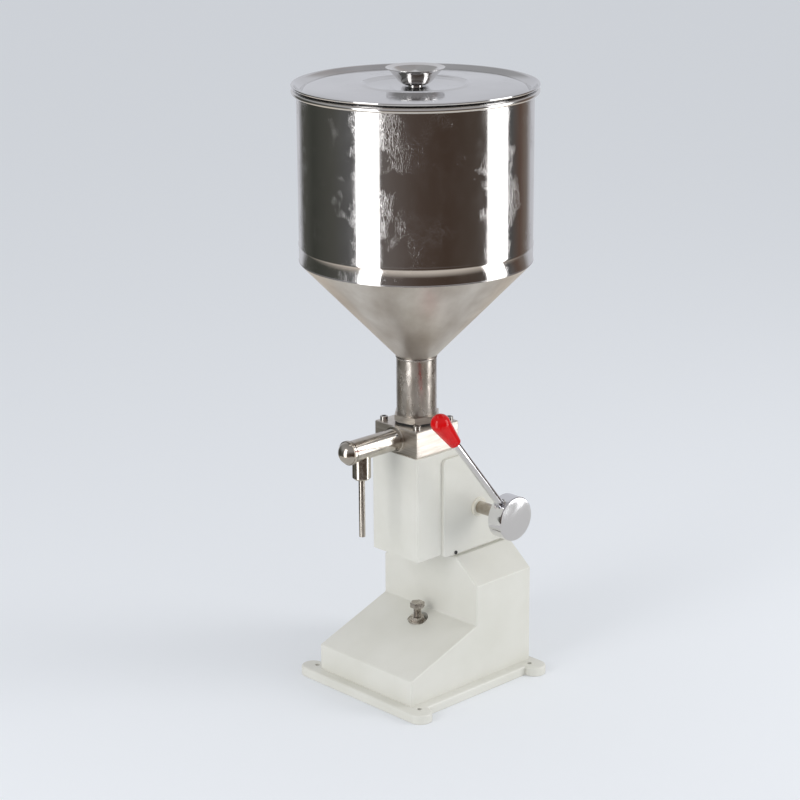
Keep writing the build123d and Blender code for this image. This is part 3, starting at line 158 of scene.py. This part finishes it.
world = bpy.data.worlds.new("room")
bpy.context.scene.world = world
world.use_nodes = True
world.cycles.sampling_method = "NONE"
room = world.node_tree
room.nodes.clear()
direction = node_in(room, "ShaderNodeSeparateXYZ")
room.links.new(node_in(room, "ShaderNodeTexCoord").outputs["Generated"], direction.inputs[0])
flip = node_in(room, "ShaderNodeMath", {"operation": "MULTIPLY"}, i1=-1.0)
room.links.new(direction.outputs["Y"], flip.inputs[0])
azimuth = node_in(room, "ShaderNodeMath", {"operation": "ARCTAN2"})
room.links.new(direction.outputs["X"], azimuth.inputs[0])
room.links.new(flip.outputs[0], azimuth.inputs[1])
turn = node_in(room, "ShaderNodeMapRange", i1=-pi, i2=pi, i3=0.0, i4=1.0)
room.links.new(azimuth.outputs[0], turn.inputs[0])
walls = node_in(room, "ShaderNodeValToRGB")
room.links.new(turn.outputs[0], walls.inputs[0])
backdrop_color = (0.62, 0.63, 0.67, 1)
wall_stops = (
    (-180, (0.22, 0.19, 0.17, 1)),
    (-168, backdrop_color),
    (-106, backdrop_color),
    (-94, (0.10, 0.10, 0.09, 1)),
    (-70, (0.055, 0.058, 0.050, 1)),
    (-40, (0.085, 0.085, 0.075, 1)),
    (-20, (0.11, 0.11, 0.11, 1)),
    (20, (0.13, 0.11, 0.10, 1)),
    (50, (0.085, 0.062, 0.050, 1)),
    (75, (0.070, 0.048, 0.036, 1)),
    (105, (0.085, 0.066, 0.054, 1)),
    (150, (0.10, 0.10, 0.10, 1)),
    (165, (0.13, 0.085, 0.065, 1)),
)
for number, (degrees, color) in enumerate(wall_stops):
    place = (degrees + 180) / 360
    stop = walls.color_ramp.elements[0] if number == 0 else walls.color_ramp.elements.new(place)
    stop.position = place
    stop.color = color
last_stop = walls.color_ramp.elements[-1]
last_stop.position = 1
last_stop.color = wall_stops[0][1]
below = node_in(room, "ShaderNodeMapRange", i1=-0.36, i2=-0.52, i3=0.0, i4=1.0)
room.links.new(direction.outputs["Z"], below.inputs[0])
above = node_in(room, "ShaderNodeMapRange", i1=0.10, i2=0.45, i3=0.0, i4=0.55)
room.links.new(direction.outputs["Z"], above.inputs[0])
with_table = node_in(room, "ShaderNodeMix", {"data_type": "RGBA"})
room.links.new(below.outputs[0], with_table.inputs[0])
room.links.new(walls.outputs[0], with_table.inputs[6])
with_table.inputs[7].default_value = (0.66, 0.60, 0.53, 1)
with_ceiling = node_in(room, "ShaderNodeMix", {"data_type": "RGBA"})
room.links.new(above.outputs[0], with_ceiling.inputs[0])
room.links.new(with_table.outputs[2], with_ceiling.inputs[6])
with_ceiling.inputs[7].default_value = (0.60, 0.60, 0.62, 1)
room_glow = node_in(room, "ShaderNodeBackground")
room.links.new(with_ceiling.outputs[2], room_glow.inputs["Color"])
soft_glow = node_in(room, "ShaderNodeBackground", Color=(0.95, 0.97, 1.0, 1), Strength=0.72)
pale_glow = node_in(room, "ShaderNodeBackground", Color=(0.86, 0.90, 0.94, 1), Strength=0.92)
rays = node_in(room, "ShaderNodeLightPath")
metal_or_soft = node_in(room, "ShaderNodeMixShader")
room.links.new(rays.outputs["Is Glossy Ray"], metal_or_soft.inputs[0])
room.links.new(soft_glow.outputs[0], metal_or_soft.inputs[1])
room.links.new(room_glow.outputs[0], metal_or_soft.inputs[2])
all_rays = node_in(room, "ShaderNodeMixShader")
room.links.new(rays.outputs["Is Camera Ray"], all_rays.inputs[0])
room.links.new(metal_or_soft.outputs[0], all_rays.inputs[1])
room.links.new(pale_glow.outputs[0], all_rays.inputs[2])
room.links.new(all_rays.outputs[0], node_in(room, "ShaderNodeOutputWorld").inputs[0])

# ------------------------------------------------------------------ castings
# The base, the head and its two side covers are iron and steel under one coat of
# ivory-grey enamel, sprayed over filled castings, so it has a fine orange peel.


def material_of(name, color, metallic, roughness):
    """A material and its shader, with the constants on the shader's own sockets."""
    made = bpy.data.materials.new(name)
    made.use_nodes = True
    shader = made.node_tree.nodes["Principled BSDF"]
    shader.inputs["Base Color"].default_value = (*color, 1)
    shader.inputs["Metallic"].default_value = metallic
    shader.inputs["Roughness"].default_value = roughness
    return made, shader


def pattern(made, scale, stretch=(1, 1, 1), detail=4.0, distortion=0.0):
    """Noise over the piece, in cells for each metre, stretched along the axes."""
    tree = made.node_tree
    where = node_in(tree, "ShaderNodeTexCoord")
    mapping = node_in(tree, "ShaderNodeMapping", Scale=stretch)
    noise = node_in(tree, "ShaderNodeTexNoise", Scale=scale, Detail=detail, Distortion=distortion)
    tree.links.new(where.outputs["Object"], mapping.inputs["Vector"])
    tree.links.new(mapping.outputs[0], noise.inputs["Vector"])
    return noise.outputs[0]


def spread(made, source, low, high, start=0.3, stop=0.7):
    """A noise value, spread from low to high."""
    ranged = node_in(made.node_tree, "ShaderNodeMapRange", i1=start, i2=stop, i3=low, i4=high)
    made.node_tree.links.new(source, ranged.inputs[0])
    return ranged.outputs[0]


def tint(made, shader, source, dark, light):
    """Base colour between two tones, by a value from 0 to 1."""
    mix = node_in(made.node_tree, "ShaderNodeMix", {"data_type": "RGBA"})
    made.node_tree.links.new(source, mix.inputs[0])
    mix.inputs[6].default_value = (*dark, 1)
    mix.inputs[7].default_value = (*light, 1)
    made.node_tree.links.new(mix.outputs[2], shader.inputs["Base Color"])


def worn(made, shader, source, low, high):
    """Roughness from low to high, by a noise value."""
    made.node_tree.links.new(spread(made, source, low, high), shader.inputs["Roughness"])


def relief(made, shader, source, distance, strength=1.0):
    """Bump from a value, on top of any bump that the shader has already."""
    bump = node_in(made.node_tree, "ShaderNodeBump", Strength=strength, Distance=distance)
    made.node_tree.links.new(source, bump.inputs["Height"])
    before = shader.inputs["Normal"].links
    if before:
        made.node_tree.links.new(before[0].from_socket, bump.inputs["Normal"])
    made.node_tree.links.new(bump.outputs[0], shader.inputs["Normal"])


def dress(made, *nodes):
    """Gives a finish to CAD nodes whose shape stays."""
    for name in nodes:
        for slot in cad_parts[name].material_slots:
            slot.material = made


enamel, enamel_shader = material_of("ivory_enamel", (0.74, 0.73, 0.66), 0.0, 0.36)
tint(
    enamel, enamel_shader, spread(enamel, pattern(enamel, 14), 0.0, 1.0),
    (0.70, 0.69, 0.62), (0.76, 0.75, 0.69),
)
worn(enamel, enamel_shader, pattern(enamel, 60), 0.32, 0.44)
enamel_shader.inputs["Coat Weight"].default_value = 0.25
enamel_shader.inputs["Coat Roughness"].default_value = 0.2
relief(enamel, enamel_shader, pattern(enamel, 22, detail=2), 0.0006, 0.25)
relief(enamel, enamel_shader, pattern(enamel, 900, detail=2), 0.00004, 0.5)
dress(enamel, "base_casting", "head_housing", "right_cover", "left_cover")

# ------------------------------------------------------------------ small pieces inside and out
# Screws blacked in oil, machined steel that stays oiled, drawn spring wire, a bronze
# rod guide, nylon bushes, black rubber seals and the ground shaft.
blacked, blacked_shader = material_of("blacked_steel", (0.06, 0.06, 0.065), 1.0, 0.36)
tint(
    blacked, blacked_shader, spread(blacked, pattern(blacked, 300), 0, 1),
    (0.04, 0.04, 0.045), (0.12, 0.12, 0.12),
)
relief(blacked, blacked_shader, pattern(blacked, 1500), 0.00003, 0.6)
dress(
    blacked, "head_bolts", "right_cover_screws", "left_cover_screws", "retaining_ring",
    "hub_grub_screw",
)

oiled, oiled_shader = material_of("oiled_gear_steel", (0.34, 0.34, 0.35), 1.0, 0.3)
tint(
    oiled, oiled_shader, spread(oiled, pattern(oiled, 90), 0, 1),
    (0.24, 0.23, 0.22), (0.42, 0.42, 0.43),
)
relief(oiled, oiled_shader, pattern(oiled, 700, (0.1, 1, 1)), 0.00004, 0.5)
dress(oiled, "sector_gear", "gear_key")

wire, wire_shader = material_of("spring_wire", (0.46, 0.46, 0.48), 1.0, 0.24)
tint(
    wire, wire_shader, spread(wire, pattern(wire, 400), 0, 1),
    (0.36, 0.35, 0.34), (0.55, 0.55, 0.57),
)

bronze, bronze_shader = material_of("bearing_bronze", (0.60, 0.42, 0.20), 1.0, 0.3)
tint(
    bronze, bronze_shader, spread(bronze, pattern(bronze, 120), 0, 1),
    (0.50, 0.34, 0.16), (0.68, 0.50, 0.27),
)
relief(bronze, bronze_shader, pattern(bronze, 600, (0.1, 0.1, 2)), 0.00004, 0.5)
dress(bronze, "rod_guide")

nylon, nylon_shader = material_of("cream_nylon", (0.84, 0.81, 0.70), 0.0, 0.42)
tint(
    nylon, nylon_shader, spread(nylon, pattern(nylon, 150), 0, 1),
    (0.78, 0.74, 0.62), (0.86, 0.84, 0.75),
)
relief(nylon, nylon_shader, pattern(nylon, 1200), 0.00003, 0.5)
dress(nylon, "right_bush", "left_bush")

rubber, rubber_shader = material_of("black_rubber", (0.02, 0.02, 0.02), 0.0, 0.62)
tint(
    rubber, rubber_shader, spread(rubber, pattern(rubber, 500), 0, 1),
    (0.012, 0.012, 0.012), (0.03, 0.03, 0.03),
)
relief(rubber, rubber_shader, pattern(rubber, 1800), 0.00005, 0.6)
dress(rubber, "piston_seals", "cap_ring", "union_gasket")

ground, ground_shader = material_of("ground_shaft_steel", (0.52, 0.47, 0.41), 1.0, 0.25)
tint(
    ground, ground_shader, spread(ground, pattern(ground, 70), 0, 1),
    (0.40, 0.35, 0.29), (0.60, 0.56, 0.50),
)
relief(ground, ground_shader, pattern(ground, 900, (3, 0.1, 0.1)), 0.00003, 0.5)
dress(ground, "lever_shaft")

# ------------------------------------------------------------------ stroke stop
# A steel bolt, its lock nut and washer in the nose: dull zinc with dark handling stains.
zinc, zinc_shader = material_of("dull_zinc_steel", (0.46, 0.42, 0.37), 1.0, 0.3)
tint(
    zinc, zinc_shader, spread(zinc, pattern(zinc, 120), 0, 1),
    (0.36, 0.32, 0.28), (0.62, 0.58, 0.53),
)
worn(zinc, zinc_shader, pattern(zinc, 500), 0.2, 0.42)
relief(zinc, zinc_shader, pattern(zinc, 500), 0.00004, 0.4)
dress(zinc, "stop_screw", "lock_nut", "stop_washer")

# ------------------------------------------------------------------ lever
# Hub and rod are chromed steel; the grip is a glossy red moulding pressed on the rod.
chrome, chrome_shader = material_of("bright_chrome", (0.80, 0.80, 0.82), 1.0, 0.04)
worn(chrome, chrome_shader, pattern(chrome, 55), 0.03, 0.09)
relief(chrome, chrome_shader, pattern(chrome, 16, detail=1.5), 0.0022, 0.55)
dress(chrome, "lever_hub", "lever_rod")

red, red_shader = material_of("red_moulding", (0.66, 0.002, 0.004), 0.0, 0.16)
tint(
    red, red_shader, spread(red, pattern(red, 60), 0, 1),
    (0.58, 0.001, 0.003), (0.68, 0.003, 0.005),
)
red_shader.inputs["Specular IOR Level"].default_value = 0.3
red_shader.inputs["Coat Weight"].default_value = 0.2
red_shader.inputs["Coat Roughness"].default_value = 0.05
relief(red, red_shader, pattern(red, 90, detail=1.5), 0.0002, 0.08)
dress(red, "lever_grip")

# ------------------------------------------------------------------ turned stainless
# Cylinder, piston and valves, turned and left with fine rings round their axis.
turned, turned_shader = material_of("turned_stainless", (0.58, 0.56, 0.53), 1.0, 0.22)
tint(
    turned, turned_shader, spread(turned, pattern(turned, 80), 0, 1),
    (0.50, 0.48, 0.45), (0.64, 0.62, 0.60),
)
relief(turned, turned_shader, pattern(turned, 900, (0.05, 0.05, 2)), 0.00004, 0.5)
dress(
    turned, "cylinder_liner", "piston_rod", "piston", "piston_screw", "inlet_seat", "inlet_poppet",
    "outlet_ball", "stem_nut", "lid_screw", "knob_nut", "block_screws", "set_screw",
)

# ------------------------------------------------------------------ valve block
# A milled block of stainless, brushed lengthwise, its edges broken by hand.
milled, milled_shader = material_of("brushed_block", (0.66, 0.61, 0.55), 1.0, 0.34)
tint(
    milled, milled_shader, spread(milled, pattern(milled, 120, (0.3, 0.3, 4)), 0, 1),
    (0.58, 0.53, 0.47), (0.74, 0.70, 0.65),
)
worn(milled, milled_shader, pattern(milled, 300, (0.2, 0.2, 6)), 0.27, 0.42)
relief(milled, milled_shader, pattern(milled, 700, (0.04, 0.04, 3)), 0.00006, 0.6)
dress(milled, "valve_block", "hopper_union")

# ------------------------------------------------------------------ outlet
# Tube, collar, cap and nozzle holder are turned stainless, polished with a cloth wheel.
buffed, buffed_shader = material_of("buffed_stainless", (0.60, 0.56, 0.50), 1.0, 0.16)
tint(
    buffed, buffed_shader, spread(buffed, pattern(buffed, 90), 0, 1),
    (0.52, 0.48, 0.42), (0.66, 0.62, 0.57),
)
worn(buffed, buffed_shader, pattern(buffed, 240), 0.12, 0.24)
relief(buffed, buffed_shader, pattern(buffed, 60, detail=3), 0.0003, 0.15)
dress(buffed, "outlet_tube", "outlet_collar", "end_cap", "nozzle_holder", "nozzle_tube")

# ------------------------------------------------------------------ hopper barrel
# Rolled 1.2 mm stainless sheet with a swaged line near the foot and a dressed weld bead on the
# cone; its butt weld down the back is not built here. Polished by hand: bright, with swirl
# marks and a few long scratches.
mm = 0.001
hopper_y = -11 * mm


def lathe(name, section, centre=(0, hopper_y, 0), turn=None, steps=160, round_edges=0.0):
    """A piece turned from a closed section of (radius, height) points, in millimetres."""
    shape = bmesh.new()
    points = [shape.verts.new((r * mm, 0, z * mm)) for r, z in section]
    for first, second in zip(points, points[1:] + points[:1]):
        shape.edges.new((first, second))
    bmesh.ops.spin(
        shape, geom=shape.verts[:] + shape.edges[:], cent=(0, 0, 0), axis=(0, 0, 1),
        angle=2 * pi, steps=steps, use_merge=True,
    )
    bmesh.ops.remove_doubles(shape, verts=shape.verts, dist=1e-7)
    bmesh.ops.dissolve_degenerate(shape, edges=shape.edges, dist=1e-7)
    bmesh.ops.recalc_face_normals(shape, faces=shape.faces)
    if round_edges:
        rings = [
            edge for edge in shape.edges
            if len(edge.link_faces) == 2
            and abs(edge.verts[0].co.z - edge.verts[1].co.z) < 1e-7
            and edge.calc_face_angle() > radians(25)
        ]
        bmesh.ops.bevel(
            shape, geom=rings, affect="EDGES", offset=round_edges * mm, segments=3,
            profile=0.5, material=-1, clamp_overlap=True,
        )
    if turn:
        bmesh.ops.rotate(shape, verts=shape.verts, cent=(0, 0, 0), matrix=turn)
    bmesh.ops.translate(shape, verts=shape.verts, vec=centre)
    return shaped(name, shape)


def shaped(name, shape):
    """A finished object from a bmesh, with smooth faces and sharp corners kept sharp."""
    bmesh.ops.recalc_face_normals(shape, faces=shape.faces)
    mesh = bpy.data.meshes.new(name)
    shape.to_mesh(mesh)
    shape.free()
    mesh.shade_smooth()
    mesh.set_sharp_from_angle(angle=radians(32))
    made = bpy.data.objects.new(name, mesh)
    bpy.context.collection.objects.link(made)
    return made


def stand_for(piece, finish, body, *nodes):
    """Puts a finished piece in place of CAD nodes, on the body that carries them."""
    piece.data.materials.append(finish)
    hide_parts(*nodes)
    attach(piece, body)


def scratches(made, scale, stretch, width, amount):
    """Thin lines from the borders of distorted cells, where broad patches let them show."""
    tree = made.node_tree
    where = node_in(tree, "ShaderNodeTexCoord")
    mapping = node_in(tree, "ShaderNodeMapping", Scale=stretch)
    tree.links.new(where.outputs["Object"], mapping.inputs["Vector"])
    wander = node_in(tree, "ShaderNodeTexNoise", Scale=scale * 0.6, Detail=2.0)
    tree.links.new(mapping.outputs[0], wander.inputs["Vector"])
    bend = node_in(
        tree, "ShaderNodeVectorMath", {"operation": "MULTIPLY_ADD"}, i1=(0.03, 0.03, 0.03),
    )
    tree.links.new(wander.outputs["Color"], bend.inputs[0])
    tree.links.new(mapping.outputs[0], bend.inputs[2])
    cells = node_in(tree, "ShaderNodeTexVoronoi", {"feature": "DISTANCE_TO_EDGE"}, Scale=scale)
    tree.links.new(bend.outputs[0], cells.inputs["Vector"])
    line = node_in(tree, "ShaderNodeMapRange", i1=0.0, i2=width, i3=amount, i4=0.0)
    tree.links.new(cells.outputs["Distance"], line.inputs[0])
    patch = node_in(tree, "ShaderNodeTexNoise", Scale=26.0, Detail=3.0)
    tree.links.new(where.outputs["Object"], patch.inputs["Vector"])
    shown = node_in(tree, "ShaderNodeMapRange", i1=0.48, i2=0.62, i3=0.0, i4=1.0)
    tree.links.new(patch.outputs[0], shown.inputs[0])
    both = node_in(tree, "ShaderNodeMath", {"operation": "MULTIPLY"})
    tree.links.new(line.outputs[0], both.inputs[0])
    tree.links.new(shown.outputs[0], both.inputs[1])
    return both.outputs[0]


mirror, mirror_shader = material_of("hand_polished_sheet", (0.70, 0.69, 0.68), 1.0, 0.07)
tint(
    mirror, mirror_shader, spread(mirror, pattern(mirror, 9, (1, 1, 0.2)), 0, 1),
    (0.64, 0.62, 0.61), (0.76, 0.75, 0.75),
)
worn(mirror, mirror_shader, pattern(mirror, 38, (1, 1, 0.5), distortion=1.2), 0.05, 0.15)
relief(mirror, mirror_shader, pattern(mirror, 7, (1, 1, 0.35), detail=1.5), 0.0016, 0.10)
relief(mirror, mirror_shader, scratches(mirror, 170.0, (1.6, 1.6, 0.7), 0.035, 1.0), 0.00008, 0.42)
relief(mirror, mirror_shader, scratches(mirror, 60.0, (1.8, 1.8, 0.4), 0.014, 1.0), 0.00009, 0.42)
relief(mirror, mirror_shader, pattern(mirror, 1400, (0.04, 0.04, 1.6)), 0.00002, 0.25)

barrel_radius = 145.0
sheet = 1.2
barrel_foot = 561.7
barrel_top = 774.5
bead_proud = 0.5
swage_height = 583.4
swage_proud = 0.6
barrel = lathe(
    "hopper_barrel_visual",
    [
        (barrel_radius - sheet, barrel_foot),
        (barrel_radius, barrel_foot),
        (barrel_radius + bead_proud, barrel_foot + 0.4),
        (barrel_radius + bead_proud, barrel_foot + 1.3),
        (barrel_radius, barrel_foot + 1.8),
        (barrel_radius, swage_height - 3.0),
        (barrel_radius + swage_proud - 0.2, swage_height - 1.8),
        (barrel_radius + swage_proud, swage_height),
        (barrel_radius + swage_proud - 0.2, swage_height + 1.8),
        (barrel_radius, swage_height + 3.0),
        (barrel_radius, barrel_top),
        (barrel_radius - sheet, barrel_top),
    ],
    steps=256, round_edges=0.25,
)
stand_for(barrel, mirror, "frame", "hopper_barrel")

# ------------------------------------------------------------------ hopper cone
# Sheet rolled to a cone, butt welded to the barrel above and the neck below, left
# satin by a flap wheel that was drawn down the slope.
satin, satin_shader = material_of("satin_sheet", (0.70, 0.66, 0.61), 1.0, 0.24)
tint(
    satin, satin_shader, spread(satin, pattern(satin, 24, (1, 1, 0.25)), 0, 1),
    (0.54, 0.49, 0.44), (0.78, 0.75, 0.71),
)
worn(satin, satin_shader, pattern(satin, 60, (1, 1, 0.15)), 0.30, 0.42)
relief(satin, satin_shader, pattern(satin, 16, (1, 1, 0.2), detail=1.5), 0.0014, 0.22)
relief(satin, satin_shader, pattern(satin, 420, (1, 1, 0.06)), 0.00006, 0.5)
neck_radius = 25.4
cone_foot = 437.75
cone_top = 561.65
cone_wall_rise = 2.55
cone = lathe(
    "hopper_cone_visual",
    [
        (neck_radius - sheet, cone_foot),
        (neck_radius, cone_foot),
        (barrel_radius, cone_top),
        (barrel_radius - sheet, cone_top),
        (neck_radius - sheet, cone_foot + cone_wall_rise),
    ],
    steps=224, round_edges=0.2,
)
stand_for(cone, satin, "frame", "hopper_cone")

# ------------------------------------------------------------------ hopper neck
# Thick-walled stainless pipe, cut and faced, with a proud weld ring under the cone.
# It was polished across and along with a coarse cloth, so it has bright streaks.
streaked, streaked_shader = material_of("streaked_pipe", (0.62, 0.58, 0.54), 1.0, 0.16)
tint(
    streaked, streaked_shader, spread(streaked, pattern(streaked, 70, (1, 1, 0.3)), 0, 1),
    (0.34, 0.31, 0.28), (0.66, 0.63, 0.60),
)
worn(streaked, streaked_shader, pattern(streaked, 150, (1, 1, 0.35), distortion=1.5), 0.22, 0.38)
relief(streaked, streaked_shader, scratches(streaked, 260.0, (1, 1, 0.45), 0.08, 1.0), 0.00014, 0.8)
relief(streaked, streaked_shader, pattern(streaked, 900, (1, 1, 0.1)), 0.00004, 0.5)
neck_foot = 358.6
ring_height = 436.3
ring_proud = 0.9
neck = lathe(
    "hopper_neck_visual",
    [
        (neck_radius - sheet, neck_foot),
        (neck_radius, neck_foot),
        (neck_radius, ring_height - 1.4),
        (neck_radius + ring_proud - 0.3, ring_height - 0.9),
        (neck_radius + ring_proud, ring_height),
        (neck_radius + ring_proud - 0.3, ring_height + 0.9),
        (neck_radius, ring_height + 1.4),
        (neck_radius - sheet, ring_height + 1.4),
    ],
    steps=128, round_edges=0.15,
)
stand_for(neck, streaked, "frame", "hopper_neck")

# ------------------------------------------------------------------ hopper rim
# The mouth of the barrel is rolled outward over a wire into a round bead.
bead_radius = 3.3
bead_middle = 148.32
bead_height = 772.355
bead_points = 20
rim = lathe(
    "hopper_rim_visual",
    [
        (
            bead_middle + bead_radius * cos(2 * pi * k / bead_points),
            bead_height + bead_radius * sin(2 * pi * k / bead_points),
        )
        for k in range(bead_points)
    ],
    steps=256,
)
bright, bright_shader = material_of("bright_edges", (0.78, 0.77, 0.76), 1.0, 0.10)
worn(bright, bright_shader, pattern(bright, 90), 0.07, 0.16)
relief(bright, bright_shader, pattern(bright, 500), 0.00004, 0.4)
stand_for(rim, bright, "frame", "hopper_rim")

# ------------------------------------------------------------------ lid
# A spun and pressed disc: a stiffening ring near the middle, a slightly crowned
# panel, a trough that drops inside the rim, and an edge curled over the bead.
lid_top_line = [
    (0.0, 778.3), (57.0, 778.3),
    (59.5, 778.7), (61.5, 780.4), (63.2, 781.3), (65.0, 781.1), (67.0, 780.2), (70.0, 779.95),
    (99.5, 779.2), (126.0, 778.1), (133.0, 777.6),
    (136.0, 776.4), (138.4, 774.2), (139.8, 773.6), (141.2, 773.6), (142.6, 774.5), (147.6, 779.2),
    (148.8, 780.9), (150.2, 781.5), (151.3, 780.9), (151.6, 779.8), (151.0, 778.6), (149.9, 778.2),
]
lid_under_line = [
    (148.9, 778.6), (142.2, 772.9), (141.2, 772.4), (139.6, 772.4), (137.4, 773.1), (134.8, 775.7),
    (132.4, 776.4), (99.5, 778.0), (70.0, 778.75),
    (66.6, 779.0), (63.2, 780.1), (61.9, 779.3), (60.2, 777.6), (57.0, 777.1), (0.0, 777.1),
]
lid = lathe("lid_visual", lid_top_line + lid_under_line, steps=256)
lid_sheet, lid_shader = material_of("pressed_lid_sheet", (0.74, 0.74, 0.75), 1.0, 0.07)
tint(
    lid_sheet, lid_shader, spread(lid_sheet, pattern(lid_sheet, 12), 0, 1),
    (0.68, 0.68, 0.69), (0.79, 0.79, 0.80),
)
worn(lid_sheet, lid_shader, pattern(lid_sheet, 30, distortion=1.5), 0.05, 0.14)
relief(lid_sheet, lid_shader, pattern(lid_sheet, 6, detail=1.5), 0.0016, 0.12)
relief(lid_sheet, lid_shader, scratches(lid_sheet, 90.0, (1, 1, 1), 0.04, 1.0), 0.0001, 0.3)
stand_for(lid, lid_sheet, "hopper_lid", "lid")
dress(bright, "lid_knob")

# ------------------------------------------------------------------ end cap seal
# A soft black ring, squeezed out a little between the outlet tube and its end cap.
squeezed = lathe(
    "cap_ring_visual",
    [(9.0, 125.0), (14.3, 125.0), (14.8, 125.4), (14.8, 126.2), (14.3, 126.6), (9.0, 126.6)],
    centre=(0, 0, 335 * mm), turn=Matrix.Rotation(radians(90), 3, "X"), steps=96,
)
stand_for(squeezed, rubber, "frame", "cap_ring")

# ------------------------------------------------------------------ valve springs
# Drawn wire wound on a mandrel, its turns set closer at both ends. Each spring stands on a fixed
# seat;
# here it is built at one length and stays fixed, not moving with its valve.


def wound(name, foot, along, coil_radius, wire_radius, length, turns):
    """A wire spring from its foot along a direction, its turns closer at both ends."""
    shape = bmesh.new()
    away = Vector(along).normalized()
    side = away.orthogonal().normalized()
    across = away.cross(side)
    steps_round = 28
    wire_sides = 10
    crowding = 0.45
    count = int(turns * steps_round)
    rise = (length - 2 * wire_radius) * mm
    rings = []
    for step in range(count + 1):
        share = step / count
        climb = 0.5 - 0.5 * cos(pi * share)
        height = wire_radius * mm + rise * ((1 - crowding) * share + crowding * climb)
        angle = 2 * pi * turns * share
        outward = side * cos(angle) + across * sin(angle)
        middle = Vector(foot) + away * height + outward * coil_radius * mm
        rings.append([
            shape.verts.new(
                middle + wire_radius * mm * (
                    outward * cos(2 * pi * k / wire_sides) + away * sin(2 * pi * k / wire_sides)
                )
            )
            for k in range(wire_sides)
        ])
    for ring, following in zip(rings, rings[1:]):
        for k in range(wire_sides):
            other = (k + 1) % wire_sides
            shape.faces.new((ring[k], ring[other], following[other], following[k]))
    shape.faces.new(rings[0])
    shape.faces.new(rings[-1])
    return shaped(name, shape)


for node, body, along, coil_radius, wire_radius, turns in (
    ("inlet_spring", "inlet_valve", (0, 0, 1), 4.2, 0.5, 6),
    ("outlet_spring", "outlet_valve", (0, 1, 0), 5.6, 0.6, 9),
):
    low, high = (Vector(corner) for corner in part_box(node))
    middle = (low + high) / 2
    up = Vector(along)
    length = (high - low).dot(up)
    foot = middle - up * length / 2
    spring = wound(node + "_visual", foot, along, coil_radius, wire_radius, length / mm, turns)
    spring.data.materials.append(wire)
    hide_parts(node)
    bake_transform(spring)

# ------------------------------------------------------------------ stroke stop screw
# An M10 bolt with a rolled thread: hexagon head with a turned top chamfer and a
# washer face, thread run out below the head.
shank_foot = 42.0
thread_root = 4.25
thread_crest = 5.0
thread_pitch = 1.5
thread_turns = 34
first_crest = 42.9
washer_face_radius = 4.6
shank_top = 96.4
thread_profile = []
for k in range(thread_turns):
    crest = first_crest + thread_pitch * k
    thread_profile += [
        (thread_root, crest - thread_pitch / 2),
        (thread_crest, crest - 0.1),
        (thread_crest, crest + 0.1),
    ]
stop_shank = (
    [(0.0, shank_foot), (4.0, shank_foot)]
    + thread_profile[1:]
    + [
        (thread_root, 93.4),
        (washer_face_radius, 94.5),
        (washer_face_radius, shank_top),
        (0.0, shank_top),
    ]
)
shank = lathe("stop_shank", stop_shank, steps=48)
half_flats = 8.5
head_foot = 96.5
head_height = 6.4
head_chamfer = 1.1
head = bmesh.new()
head.from_mesh(shank.data)
hexagon = bmesh.ops.create_circle(
    head, cap_ends=True, segments=6, radius=half_flats * mm / cos(pi / 6),
)
bmesh.ops.rotate(
    head, verts=hexagon["verts"], cent=(0, 0, 0), matrix=Matrix.Rotation(radians(30), 3, "Z")
)
bmesh.ops.translate(head, verts=hexagon["verts"], vec=(0, hopper_y, head_foot * mm))
flat_face = {face for vert in hexagon["verts"] for face in vert.link_faces}
risen = bmesh.ops.extrude_face_region(head, geom=list(flat_face))
top_verts = [item for item in risen["geom"] if isinstance(item, bmesh.types.BMVert)]
bmesh.ops.translate(head, verts=top_verts, vec=(0, 0, head_height * mm))
top_edges = [
    edge for edge in head.edges if all(vert in top_verts for vert in edge.verts)
]
bmesh.ops.bevel(
    head, geom=top_edges, affect="EDGES", offset=head_chamfer * mm, segments=3,
    profile=0.5, material=-1,
)
bpy.data.objects.remove(shank)
stop_screw = shaped("stop_screw_visual", head)
stand_for(stop_screw, zinc, "stroke_stop", "stop_screw")
